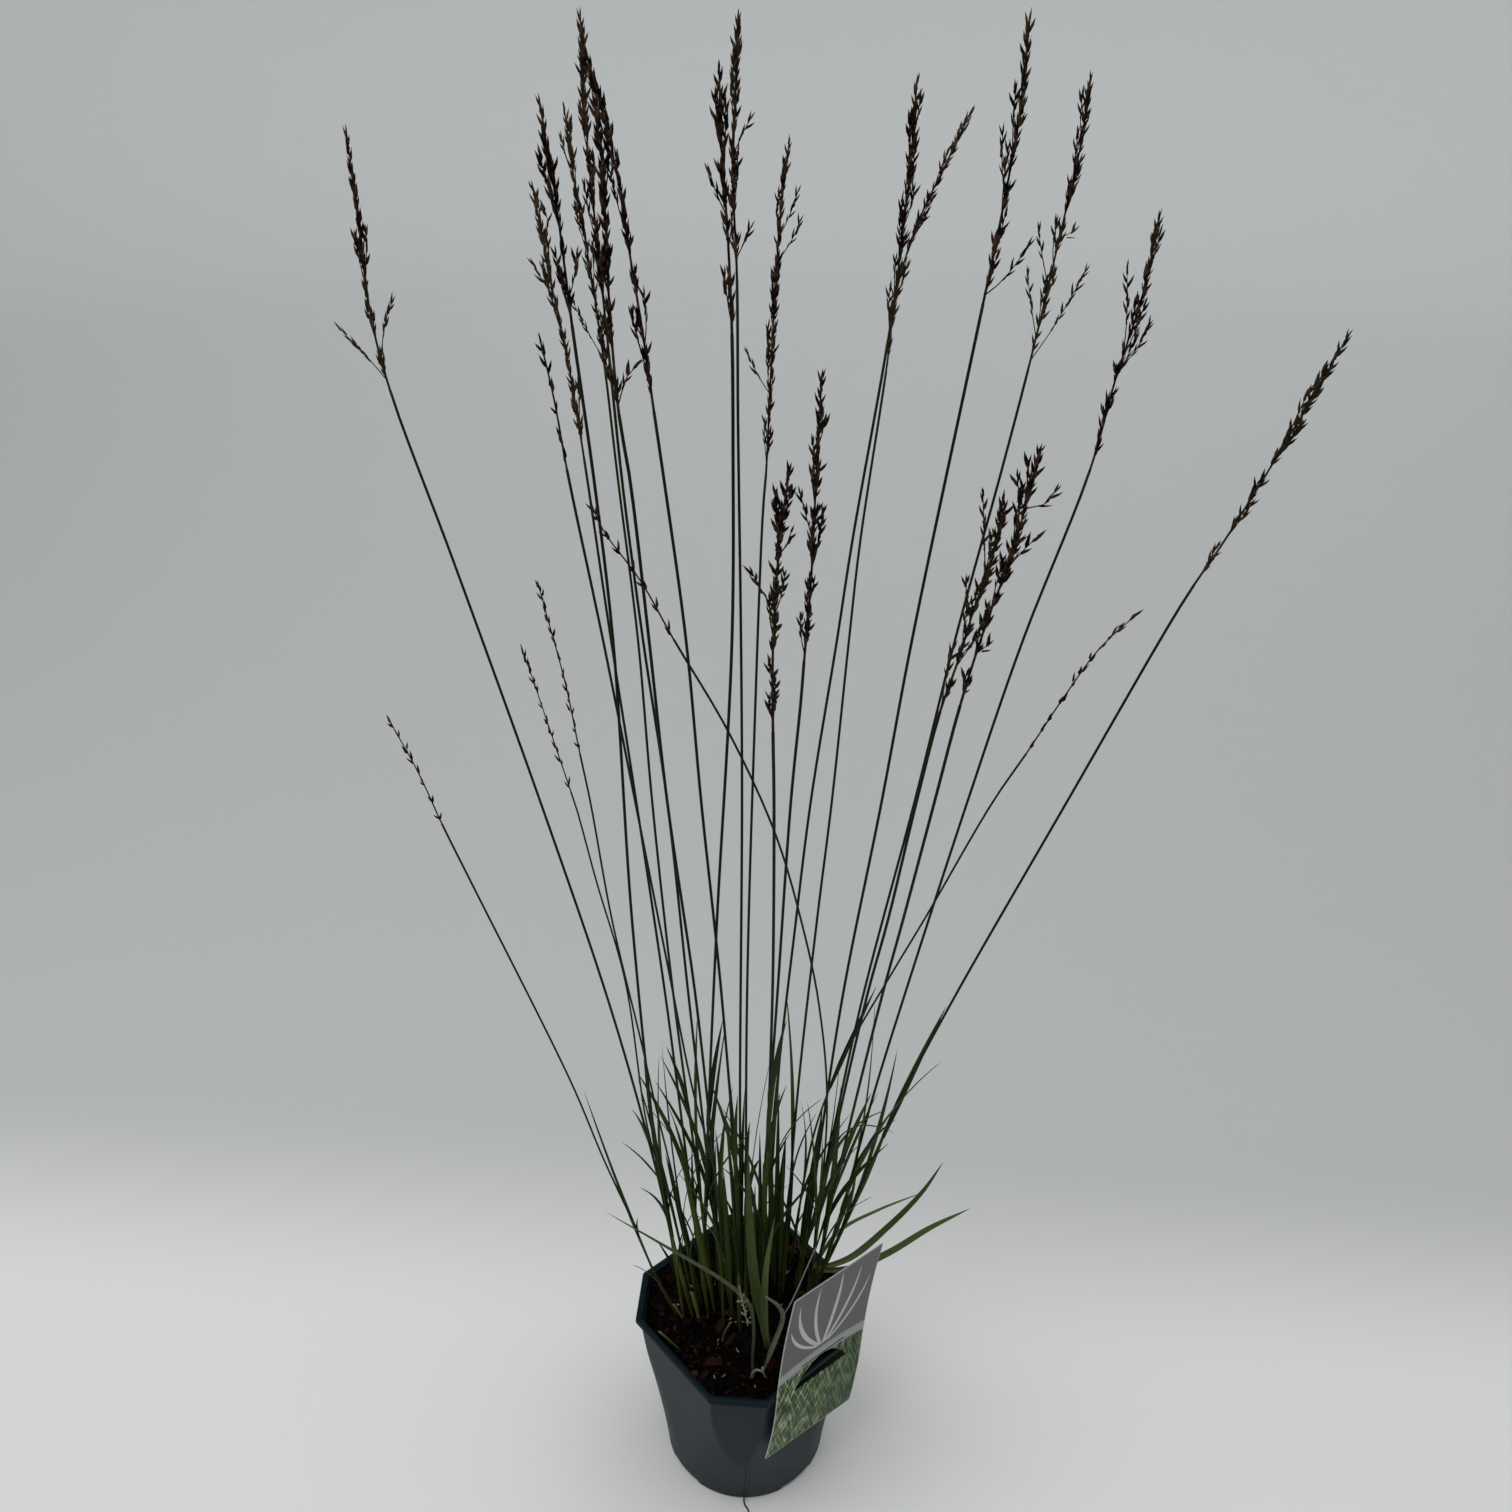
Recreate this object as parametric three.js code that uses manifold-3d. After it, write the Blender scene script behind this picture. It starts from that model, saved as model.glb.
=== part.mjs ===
import * as THREE from 'three';
import { mergeVertices } from 'three/addons/utils/BufferGeometryUtils.js';
import Module from 'manifold-3d';

// A clump of purple moor grass in flower, standing in a thin plastic nursery pot.
// Millimetres, +Z up, the origin in the middle of the pot's underside, the front of the pot towards -Y.

const wasm = await Module();
wasm.setup();

// Pot: a square with cut corners at the rim, a circle at the base
const POT_HEIGHT = 150;
const RIM_HALF_SIDE = 70;
const RIM_CUT_CORNER = 79;
const BASE_RADIUS = 60;
const LIP_WIDTH = 3.2;
const LIP_HEIGHT = 4;
const FOOT_BEVEL = 1.3;
const WALL = 1.5;
const FLOOR = 1.8;
const LOWER_BAND = 60;
const UPPER_BAND = 132;
const RIM_CORNER_ROUNDING = 20;
const ROUNDING_POWER = 1.75;
const CUT_FACE_SLOPE = 14.5;
const NOTCH_WIDTH = 25;
const NOTCH_HEIGHT = 4;
const NOTCH_DEPTH = 9;
const POT_SEGMENTS = 40;
const GAP = 0.35;

// Soil: low at the front, heaped at the back
const SOIL_FRONT_LEVEL = 137;
const SOIL_RISE = 15;
const SOIL_RISE_START = -35;
const SOIL_RISE_END = 60;
const SOIL_RELIEF = 2.2;
const SOIL_RINGS = [0.9, 0.68, 0.4];
const DIP_HEIGHT = 5;
const DIP_TOP_RADIUS = 11;
const DIP_FOOT_RADIUS = 4;
const CHIP_COUNT = 8;
const CHIP_FIELD = 48;
const CHIP_LENGTH = [9, 17];
const CHIP_WIDTH = [5, 8];
const CHIP_THICKNESS = 3.4;
const CHIP_LIFT = 1.2;
const CHIP_TILT = [-0.25, 0.25];

// Label: a card clipped over the front right of the rim
const CARD_WIDTH = 82;
const CARD_HEIGHT = 170;
const CARD_THICKNESS = 0.7;
const CARD_FOOT = 76;
const CARD_SHIFT = 8;
const CARD_TURN = THREE.MathUtils.degToRad(-5.7);
const CARD_LEAN = THREE.MathUtils.degToRad(2.1);
const CARD_BOW_BELOW = 2;
const CARD_BOW_ABOVE = -1.5;
const CARD_STEPS = 10;
const WINDOW_WIDTH = 52;
const WINDOW_FOOT = 140;
const WINDOW_RISE = 21;
const TONGUE_WIDTH = 40;
const TONGUE_END = 112;
const SLIT_WIDTH = 6;

// Stems
const STEM_SIDES = 4;
const FOOT_DEPTH = 16;
const FOOT_RADIUS = 1.15;
const SHEATH_RADIUS = 1.55;
const BARE_RADIUS = 0.85;
const TOP_RADIUS = 0.65;
const THIN_SHARE = 0.75;
const SHOOT_RADIUS = 1.6;
const SHOOT_COLLAR = 4;
const FAN_HEIGHT = 800;
const FAN_POWER = 1.3;
const STATIONS = [0, 30, 75, 140, 240, 380, 540, 720];

// Blades
const BLADE_THICKNESS = 0.75;
const BLADE_STEPS = 4;
const BLADE_FORM = [0.7, 1, 0.84, 0.5, 0];
const BLADES_BY_RULE = 2;
const FIRST_COLLAR = [26, 52];
const COLLAR_STEP = 50;
const RULE_LENGTH = [75, 140];
const RULE_SPREAD = [9, 22].map(THREE.MathUtils.degToRad);
const RULE_WIDTH = [3, 4.2];
const THIN_WIDTH = 2.4;
const BLADE_CHOICES = 16;
const ENOUGH_ROOM = 3;
const LEAST_ROOM = 0.6;

// Flower heads
const AXIS_RADIUS = 0.55;
const AXIS_TIP_RADIUS = 0.35;
const SPRIG_RADIUS = 0.4;
const SPIKELET_RADIUS = 0.85;
const SPIKELET_SPACING = 12;
const SPIKELET_LENGTH = 11;
const SPARSE_SPACING = 12;
const SPARSE_LENGTH = 7.5;
const SPRIG_SPACING = 17;
const SPACING_SPREAD = [0.85, 1.15];
const SPIKELET_SPREAD = [17, 27].map(THREE.MathUtils.degToRad);
const TIP_SPIKELET = 5.5;
const GOLDEN_ANGLE = 2.39996;

// Viewpoint that the stems' courses are given from: each course is a row of places in a picture,
// 1512 units wide, taken from there, and reach is how far the tip stands behind or before its foot.
const EYE = new THREE.Vector3(43.8, -667, 1067.1);
const FOCAL = 1457;
const MIDDLE = 756;
const PITCH = THREE.MathUtils.degToRad(33.32);
const YAW = THREE.MathUtils.degToRad(3.69);
const ROLL = THREE.MathUtils.degToRad(-0.84);

const STEMS = [
  { reach: 40, foot: [684, 1318], stem: [[671, 1235], [649, 1142], [609, 1003], [545, 815], [453, 560]],
    head: [[390, 390], [371, 317], [361, 240], [346, 130]],
    sprigs: [[[381, 358], [386, 319], [393, 300]], [[387, 381], [368, 358], [339, 328]]],
    blades: [{ collar: 1150, tip: [631, 1108], depth: -8, width: 3 }] },
  { reach: -60, foot: [693, 1318], stem: [[672, 1235], [655, 1139], [632, 920], [613, 640], [594, 480]],
    head: [[572, 325], [555, 195], [539, 100]], sprigs: [[[568, 302], [574, 279], [577, 251]]] },
  { reach: 120, foot: [708, 1313], stem: [[692, 1200], [666, 1000], [636, 800], [611, 640]],
    head: [[584, 458], [570, 373], [551, 282], [532, 185]],
    sprigs: [[[555, 297], [540, 277], [532, 262]], [[556, 238], [548, 222], [542, 205]]],
    blades: [{ collar: 1205, tip: [637, 1072], depth: 14, width: 4.2 },
      { collar: 1200, tip: [668, 1105], depth: -12, width: 3.6 }] },
  { reach: 30, foot: [722, 1295], stem: [[712, 1200], [689, 1000], [667, 800], [643, 640], [622, 480]],
    head: [[609, 355], [600, 268], [587, 139], [580, 13]],
    blades: [{ collar: 1200, tip: [660, 1055], depth: 20, width: 4.2 }] },
  { reach: 200, foot: [713, 1300], stem: [[701, 1200], [674, 1000], [652, 800], [638, 640], [618, 480]],
    head: [[604, 362], [590, 268], [573, 171], [564, 107]], sprigs: [[[602, 358], [589, 334], [572, 300]]],
    blades: [{ collar: 1120, tip: [666, 1046], depth: 20, width: 3.2 }] },
  { reach: -120, foot: [731, 1310], stem: [[718, 1200], [696, 1000], [667, 800], [649, 640], [630, 480]],
    head: [[619, 415], [609, 300], [603, 174], [594, 102]], sprigs: [[[617, 408], [628, 375], [640, 362]]] },
  { reach: -40, foot: [740, 1332], stem: [[737, 1200], [722, 1000], [701, 800], [686, 640], [664, 480]],
    head: [[654, 412], [643, 335], [632, 268], [612, 150], [586, 51]],
    blades: [{ collar: 1190, tip: [738, 1094], depth: -14, width: 3.2 },
      { collar: 1165, tip: [728, 1062], depth: 14, width: 3 }] },
  { reach: -180, thin: true, foot: [724, 1329],
    stem: [[716, 1180], [693, 1091], [666, 957], [637, 811], [603, 640]],
    head: [[567, 470], [554, 399], [538, 331]] },
  { reach: 60, foot: [741, 1300], stem: [[740, 1100], [742, 800], [741, 640], [738, 420]],
    head: [[737, 280], [733, 173], [736, 87], [738, 14]],
    sprigs: [[[733, 156], [742, 135], [752, 116]], [[736, 260], [744, 243], [752, 225]]] },
  { reach: -100, foot: [703, 1290], stem: [[709, 1100], [717, 920], [732, 640], [733, 440]],
    head: [[732, 335], [728, 240], [722, 150], [719, 67]], sprigs: [[[725, 218], [716, 192], [709, 170]]],
    blades: [{ collar: 1130, tip: [723, 1019], depth: 16, width: 3.6 }] },
  { reach: 160, foot: [746, 1318], stem: [[747, 1000], [755, 715], [763, 510]],
    head: [[766, 474], [773, 330], [781, 206], [789, 143]],
    sprigs: [[[780, 240], [791, 212], [799, 189]], [[779, 262], [792, 240], [801, 219]],
      [[769, 395], [756, 372], [747, 351]]],
    blades: [{ collar: 1190, tip: [750, 1121], depth: -14, width: 3 }] },
  { reach: -150, foot: [757, 1285], stem: [[764, 1180], [777, 1000], [791, 800], [801, 700]],
    head: [[804, 662], [811, 581], [816, 482], [822, 374]], sprigs: [[[813, 545], [805, 512], [799, 490]]],
    blades: [{ collar: 1160, tip: [787, 1084], depth: 18, width: 3 }] },
  { reach: -230, foot: [762, 1300], stem: [[770, 1076], [773, 969], [774, 800]],
    head: [[773, 732], [773, 648], [780, 538], [790, 467]],
    sprigs: [[[773, 613], [761, 590], [751, 570]], [[781, 560], [788, 543], [792, 529]]],
    blades: [{ collar: 1150, tip: [787, 1019], depth: -18, width: 3.6 }] },
  { reach: 80, foot: [768, 1275], stem: [[774, 1120], [796, 920], [811, 800], [837, 640], [852, 543]],
    head: [[888, 340], [900, 256], [912, 149], [917, 79]] },
  { reach: 220, foot: [783, 1290], stem: [[797, 1100], [817, 920], [832, 800], [849, 640], [860, 543]],
    head: [[886, 372], [897, 290], [915, 230], [940, 176], [972, 109]] },
  { reach: -20, foot: [797, 1300], stem: [[812, 1200], [842, 1000], [882, 800], [912, 640]],
    head: [[983, 304], [1003, 208], [1020, 110], [1030, 15]],
    sprigs: [[[985, 297], [1003, 280], [1031, 243]], [[1004, 200], [1002, 165], [1003, 129]]] },
  { reach: 100, foot: [795, 1283], stem: [[818, 1200], [862, 1000], [915, 800], [955, 640], [999, 480]],
    head: [[1028, 370], [1046, 296], [1064, 218], [1078, 159], [1091, 78]],
    sprigs: [[[1030, 362], [1053, 328], [1087, 269]], [[1036, 338], [1031, 305], [1027, 270]],
      [[1048, 288], [1042, 255], [1038, 226]], [[1059, 240], [1068, 237], [1076, 229]]] },
  { reach: 30, foot: [818, 1285], stem: [[845, 1200], [872, 1100], [903, 1000], [968, 800], [1023, 640]],
    head: [[1090, 470], [1115, 381], [1143, 293], [1160, 214]],
    sprigs: [[[1122, 355], [1127, 314], [1127, 266]], [[1118, 372], [1136, 350], [1150, 324]]],
    blades: [{ collar: 1215, tip: [942, 1061], depth: -30, width: 5.5 }] },
  { reach: -60, foot: [820, 1277], stem: [[856, 1200], [901, 1098], [954, 998], [1068, 800], [1172, 620]],
    head: [[1194, 585], [1219, 549], [1259, 486], [1308, 405], [1349, 334]],
    blades: [{ collar: 1140, tip: [947, 1005], depth: 14, width: 4 }] },
  { reach: -210, foot: [812, 1297], stem: [[832, 1200], [881, 1000], [903, 920], [935, 800]],
    head: [[960, 706], [984, 630], [1015, 544], [1040, 448]],
    sprigs: [[[1030, 512], [1045, 504], [1057, 489]], [[1003, 575], [1018, 556], [1040, 534]],
      [[1022, 514], [1019, 493], [1017, 473]], [[975, 657], [984, 650], [990, 643]]],
    blades: [{ collar: 1180, tip: [872, 1092], depth: 16, width: 3.6 }] },
  { reach: -150, foot: [806, 1310], stem: [[822, 1200], [866, 1000], [888, 920], [917, 800]],
    head: [[940, 712], [958, 661], [974, 609], [996, 545], [1003, 497]],
    sprigs: [[[984, 580], [984, 530], [983, 493]], [[970, 619], [967, 598], [966, 578]],
      [[957, 659], [968, 648], [977, 636]]],
    blades: [{ collar: 1165, tip: [895, 1133], depth: -24, width: 2.8 }] },
  { reach: -200, thin: true, foot: [790, 1265],
    stem: [[815, 1130], [847, 1051], [892, 973], [924, 920], [994, 800]],
    head: [[1026, 754], [1062, 700], [1100, 648], [1137, 614]],
    blades: [{ collar: 1090, tip: [877, 985], depth: 14, width: 3 }] },
  { reach: -200, thin: true, foot: [810, 1290],
    stem: [[827, 1112], [819, 1005], [801, 920], [775, 833], [728, 731]],
    head: [[674, 640], [640, 580], [603, 530], [588, 495]] },
  { reach: -60, thin: true, foot: [699, 1311],
    stem: [[676, 1190], [657, 1112], [641, 1041], [612, 920], [590, 800]],
    head: [[580, 754], [566, 686], [545, 609], [537, 580]] },
  { reach: 40, thin: true, foot: [692, 1296],
    stem: [[672, 1210], [648, 1130], [625, 980], [596, 880], [577, 810]],
    head: [[571, 792], [551, 733], [531, 674], [520, 643]] },
  { reach: -150, thin: true, foot: [677, 1315],
    stem: [[654, 1272], [636, 1229], [604, 1160], [571, 1082], [470, 880]],
    head: [[442, 824], [419, 774], [388, 718]] },
];

// Leafy shoots without a flower head: each blade runs from the foot through its places to its tip,
// and depths are how far those places stand behind or before the foot.
const SHOOTS = [
  { name: 'shoot_right', foot: [813, 1270], blades: [
    { places: [[834, 1242], [885, 1221], [944, 1161]], depths: [4, 10, 20], width: 5 },
    { places: [[850, 1262], [931, 1225], [971, 1208]], depths: [-4, -16, -26], width: 5 },
    { places: [[838, 1232], [878, 1210], [924, 1192]], depths: [8, 34, 50], width: 2.6 }] },
  { name: 'shoot_front', foot: [769, 1352], blades: [
    { places: [[764, 1323], [755, 1282], [749, 1211], [748, 1150]], depths: [-3, -7, -12, -14], width: 5.5 },
    { places: [[765, 1322], [766, 1270], [775, 1215]], depths: [-6, -20, -30], width: 4 }] },
  { name: 'shoot_drooping', foot: [753, 1377], blades: [
    { places: [[753, 1345], [746, 1305], [728, 1284], [672, 1250], [604, 1211]],
      depths: [-2, -6, -10, -14, -22], width: 3.6 }] },
  { name: 'shoot_withered', foot: [763, 1371], blades: [
    { places: [[776, 1340], [784, 1315], [792, 1301], [816, 1247]], depths: [0, 2, 4, 30], width: 2 },
    { places: [[773, 1346], [783, 1316], [777, 1304], [765, 1296]], depths: [-1, -3, -7, -12], width: 3 }] },
];

// Seeded draws between 0 and 1
function draws(seed) {
  let state = seed;
  return () => {
    state = (state * 16807) % 2147483647;
    return state / 2147483647;
  };
}

const drawn = ([low, high], random) => low + (high - low) * random();

// Solids and booleans

function toSolid(geometry) {
  const bare = geometry.clone();
  bare.deleteAttribute('normal');
  bare.deleteAttribute('uv');
  const merged = mergeVertices(bare, 1e-4);
  const mesh = new wasm.Mesh({
    numProp: 3,
    vertProperties: new Float32Array(merged.attributes.position.array),
    triVerts: new Uint32Array(merged.index.array),
  });
  mesh.merge();
  return new wasm.Manifold(mesh);
}

function fuse(geometries) {
  return geometries.map(toSolid).reduce((whole, piece) => whole.add(piece));
}

function toGeometry(solid) {
  const { vertProperties, triVerts } = solid.getMesh();
  const geometry = new THREE.BufferGeometry();
  geometry.setAttribute('position', new THREE.Float32BufferAttribute(vertProperties, 3));
  geometry.setIndex(new THREE.Uint32BufferAttribute(triVerts, 1));
  return geometry;
}

const UP = new THREE.Vector3(0, 0, 1);
const plant = new THREE.Group();

function addPart(name, geometry, material) {
  geometry.computeVertexNormals();
  const mesh = new THREE.Mesh(geometry, material);
  mesh.name = name;
  plant.add(mesh);
  return mesh;
}

// Courses: smooth lines measured by the distance along them

class Course {
  constructor(points) {
    this.points = points;
    this.distances = [0];
    for (let i = 1; i < points.length; i += 1) {
      this.distances.push(this.distances[i - 1] + points[i].distanceTo(points[i - 1]));
    }
    this.length = this.distances[points.length - 1];
  }

  static smooth(places, from = 0, to = 1) {
    const curve = new THREE.CatmullRomCurve3(places, false, 'centripetal');
    const steps = 12 * (places.length - 1);
    return new Course(Array.from({ length: steps + 1 }, (_, i) => (
      curve.getPoint(from + (to - from) * (i / steps)))));
  }

  // The same course in straight stretches between a few distances
  through(stations) {
    return new Course(stations.map((distance) => this.at(distance)));
  }

  at(distance) {
    const last = this.points.length - 2;
    let i = 0;
    while (i < last && this.distances[i + 1] < distance) i += 1;
    const share = (distance - this.distances[i]) / (this.distances[i + 1] - this.distances[i]);
    return this.points[i].clone().lerp(this.points[i + 1], share);
  }

  heading(distance) {
    return this.at(distance + 0.5).sub(this.at(distance - 0.5)).normalize();
  }

  nearest(place) {
    let best = this.at(0);
    for (let distance = 0; distance < this.length; distance += 1) {
      const point = this.at(distance);
      if (point.distanceTo(place) < best.distanceTo(place)) best = point;
    }
    return best;
  }
}

// Two directions square to a heading
function crossways(heading) {
  const guide = Math.abs(heading.y) < 0.8 ? new THREE.Vector3(0, 1, 0) : new THREE.Vector3(1, 0, 0);
  const side = guide.cross(heading).normalize();
  return { side, front: side.clone().cross(heading) };
}

// Bends a standing cylinder or cone along a course. Stations are the distances of its rows,
// and spread gives the half width and half thickness of a row.
function bendAlong(geometry, course, stations, spread, frameAt) {
  const rows = stations.length - 1;
  const position = geometry.attributes.position;
  for (let i = 0; i < position.count; i += 1) {
    const row = Math.round((position.getY(i) + 0.5) * rows);
    const distance = stations[row];
    const { side, front } = frameAt(distance);
    const across = new THREE.Vector2(position.getX(i), position.getZ(i));
    const point = course.at(distance);
    if (across.length() > 1e-6) {
      across.normalize();
      const [halfWidth, halfThickness] = spread(row);
      point.addScaledVector(side, across.x * halfWidth).addScaledVector(front, across.y * halfThickness);
    }
    position.setXYZ(i, point.x, point.y, point.z);
  }
  return geometry;
}

function tube(course, stations, radii, sides) {
  const cylinder = new THREE.CylinderGeometry(1, 1, 1, sides, stations.length - 1);
  return bendAlong(cylinder, course, stations, (row) => [radii[row], radii[row]],
    (distance) => crossways(course.heading(distance)));
}

// A blade: three-sided, keeled below, widest in its lower third, drawn out to a fine tip
function blade(course, width, side) {
  const cone = new THREE.ConeGeometry(1, 1, 3, BLADE_STEPS);
  const stations = BLADE_FORM.map((_, row) => (course.length * row) / BLADE_STEPS);
  const halfWidth = width / Math.sqrt(3);
  const halfThickness = BLADE_THICKNESS / 1.5;
  return bendAlong(cone, course, stations, (row) => [
    Math.max(halfWidth * BLADE_FORM[row], halfThickness), halfThickness,
  ], (distance) => {
    const heading = course.heading(distance);
    const flat = side.clone().addScaledVector(heading, -side.dot(heading)).normalize();
    return { side: flat, front: flat.clone().cross(heading) };
  });
}

// Sightlines from the viewpoint

const AHEAD = new THREE.Vector3(
  -Math.sin(YAW) * Math.cos(PITCH), Math.cos(YAW) * Math.cos(PITCH), -Math.sin(PITCH));
const LEVEL_RIGHT = new THREE.Vector3(Math.cos(YAW), Math.sin(YAW), 0);
const LEVEL_DOWN = AHEAD.clone().cross(LEVEL_RIGHT);
const RIGHT = LEVEL_RIGHT.clone().multiplyScalar(Math.cos(ROLL)).addScaledVector(LEVEL_DOWN, Math.sin(ROLL));
const DOWN = LEVEL_DOWN.clone().multiplyScalar(Math.cos(ROLL)).addScaledVector(LEVEL_RIGHT, -Math.sin(ROLL));

function sightline([across, down]) {
  return AHEAD.clone().multiplyScalar(FOCAL)
    .addScaledVector(RIGHT, across - MIDDLE).addScaledVector(DOWN, down - MIDDLE);
}

// The place seen at a picture place whose depth is depthAt its height
function placeAtDepth(picturePlace, depthAt) {
  const ray = sightline(picturePlace);
  const place = new THREE.Vector3(0, 0, POT_HEIGHT);
  for (let i = 0; i < 40; i += 1) {
    const share = (depthAt(place.z) - EYE.y) / ray.y;
    place.copy(EYE).addScaledVector(ray, share);
  }
  return place;
}

function soilLevel(x, y) {
  const share = THREE.MathUtils.clamp((y - SOIL_RISE_START) / (SOIL_RISE_END - SOIL_RISE_START), 0, 1);
  return SOIL_FRONT_LEVEL + SOIL_RISE * share;
}

function placeOnSoil(picturePlace) {
  const ray = sightline(picturePlace);
  const place = new THREE.Vector3(0, 0, SOIL_FRONT_LEVEL);
  for (let i = 0; i < 40; i += 1) {
    const share = (soilLevel(place.x, place.y) - EYE.z) / ray.z;
    place.copy(EYE).addScaledVector(ray, share);
  }
  return place;
}

// Outlines of the pot: the distance from its axis at an angle and a height

const CORNER_ANGLE = Math.atan2(RIM_HALF_SIDE * Math.SQRT2 - RIM_CUT_CORNER, RIM_CUT_CORNER);
const EIGHTH = Math.PI / 4;

function foldedAngle(angle) {
  const quarter = ((angle % (2 * EIGHTH)) + 2 * EIGHTH) % (2 * EIGHTH);
  return quarter > EIGHTH ? 2 * EIGHTH - quarter : quarter;
}

function rimRadius(angle) {
  const fromCutFace = foldedAngle(angle);
  const fromLongFace = EIGHTH - fromCutFace;
  return Math.min(RIM_HALF_SIDE / Math.cos(fromLongFace), RIM_CUT_CORNER / Math.cos(fromCutFace));
}

function wallRadius(angle, height) {
  const share = THREE.MathUtils.clamp(height / POT_HEIGHT, 0, 1);
  const halfSide = THREE.MathUtils.lerp(BASE_RADIUS, RIM_HALF_SIDE - LIP_WIDTH, share);
  const rounding = THREE.MathUtils.lerp(BASE_RADIUS, RIM_CORNER_ROUNDING, Math.pow(share, ROUNDING_POWER));
  const straight = halfSide - rounding;
  const fromCutFace = foldedAngle(angle);
  const fromLongFace = EIGHTH - fromCutFace;
  let radius = halfSide / Math.cos(fromLongFace);
  if (radius * Math.sin(fromLongFace) > straight) {
    const spread = Math.sin(2 * fromLongFace);
    radius = straight * Math.sqrt(1 + spread)
      + Math.sqrt(Math.max(0, rounding ** 2 - straight ** 2 * (1 - spread)));
  }
  const cutFace = RIM_CUT_CORNER - LIP_WIDTH - CUT_FACE_SLOPE * (1 - share);
  return Math.min(radius, cutFace / Math.cos(fromCutFace));
}

// Turns evenly spaced angles so that the rim's corners fall on them
function cornerSnapped(angle) {
  const quarter = 2 * EIGHTH;
  const turns = Math.floor(angle / quarter + 1e-9);
  const folded = foldedAngle(angle);
  const evenCorner = (2 * quarter) / (POT_SEGMENTS / 4);
  const snapped = folded < evenCorner
    ? (folded * CORNER_ANGLE) / evenCorner
    : CORNER_ANGLE + ((folded - evenCorner) * (EIGHTH - CORNER_ANGLE)) / (EIGHTH - evenCorner);
  const within = angle - turns * quarter;
  return turns * quarter + (within > EIGHTH ? quarter - snapped : snapped);
}

// Turns a profile about the axis, then draws each point in or out to its outline.
// A profile point is [outline, inset, height]; outline null stands on the axis.
function turnedShell(profile, heightAt = (height) => height) {
  const rough = profile.map(([outline], i) => new THREE.Vector2(outline ? 1 : 0, i));
  const lathe = new THREE.LatheGeometry(rough, POT_SEGMENTS);
  const position = lathe.attributes.position;
  for (let i = 0; i < position.count; i += 1) {
    const [outline, inset, height] = profile[Math.round(position.getY(i))];
    const even = Math.atan2(position.getX(i), position.getZ(i));
    const angle = cornerSnapped((even + 4 * Math.PI) % (2 * Math.PI));
    const radius = outline ? inset(outline(angle, height)) : 0;
    const x = radius * Math.cos(angle);
    const y = radius * Math.sin(angle);
    position.setXYZ(i, x, y, heightAt(height, x, y));
  }
  return lathe;
}

const inBy = (inset) => (radius) => radius - inset;
const bedShare = (share) => (radius) => (radius - WALL - GAP) * share;

function makePot() {
  const lipFoot = POT_HEIGHT - LIP_HEIGHT;
  const aboveRim = POT_HEIGHT + LIP_HEIGHT;
  const outside = toSolid(turnedShell([
    [null, null, 0],
    [wallRadius, inBy(FOOT_BEVEL), 0],
    [wallRadius, inBy(0), FOOT_BEVEL],
    [wallRadius, inBy(0), LOWER_BAND / 2],
    [wallRadius, inBy(0), LOWER_BAND],
    [wallRadius, inBy(0), (LOWER_BAND + UPPER_BAND) / 2],
    [wallRadius, inBy(0), lipFoot],
    [rimRadius, inBy(0), lipFoot],
    [rimRadius, inBy(0), POT_HEIGHT],
    [null, null, POT_HEIGHT],
  ]));
  const inside = toSolid(turnedShell([
    [null, null, FLOOR],
    [wallRadius, inBy(WALL), FLOOR],
    [wallRadius, inBy(WALL), LOWER_BAND],
    [wallRadius, inBy(WALL), UPPER_BAND],
    [wallRadius, inBy(WALL), POT_HEIGHT],
    [wallRadius, inBy(WALL), aboveRim],
    [null, null, aboveRim],
  ]));
  // Drainage openings at the foot of the four long faces
  const notch = new THREE.BoxGeometry(NOTCH_WIDTH, NOTCH_DEPTH, NOTCH_HEIGHT);
  notch.translate(0, BASE_RADIUS, NOTCH_HEIGHT / 2 - 0.5);
  let pot = outside.subtract(inside);
  for (let i = 0; i < 4; i += 1) {
    pot = pot.subtract(toSolid(notch.clone().rotateZ(EIGHTH + i * 2 * EIGHTH)));
  }
  return pot;
}

// Stems, in the order of the list

function depthOfStem(footPlace, reach) {
  return (height) => {
    const share = Math.max(0, height - footPlace.z) / FAN_HEIGHT;
    return footPlace.y + reach * Math.pow(share, FAN_POWER);
  };
}

function courseOfStem({ reach, foot, stem, head }) {
  const footPlace = placeOnSoil(foot);
  const depthAt = depthOfStem(footPlace, reach);
  const places = [footPlace, ...[...stem, ...head].map((place) => placeAtDepth(place, depthAt))];
  const headStart = (stem.length + 1) / (places.length - 1);
  const stemCourse = Course.smooth(places, 0, headStart);
  const headCourse = Course.smooth(places, headStart, 1);
  return { footPlace, depthAt, stemCourse, headCourse };
}

// The straight foot of a stem, sunk in the soil
function footCourse(place, heading) {
  return new Course([place.clone().addScaledVector(heading, -FOOT_DEPTH), place]);
}

const stemCourses = STEMS.map(courseOfStem);

// Room: short straight stretches of stems and blades that a new blade has to stay clear of
const taken = [];

function take(course, owner, halfWidth, reach = course.length) {
  for (let distance = 0; distance < reach; distance += 8) {
    const end = Math.min(distance + 8, course.length);
    taken.push({ stretch: new THREE.Line3(course.at(distance), course.at(end)), owner, halfWidth });
  }
}

function clearanceOf(course, owner, halfWidth) {
  let least = Infinity;
  const nearest = new THREE.Vector3();
  for (let distance = 0; distance <= course.length; distance += 4) {
    const point = course.at(distance);
    for (const other of taken) {
      if (other.owner !== owner) {
        other.stretch.closestPointToPoint(point, true, nearest);
        least = Math.min(least, nearest.distanceTo(point) - other.halfWidth - halfWidth);
      }
    }
  }
  return least;
}

stemCourses.forEach(({ stemCourse }, owner) => take(stemCourse, owner, SHEATH_RADIUS, 270));

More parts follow.
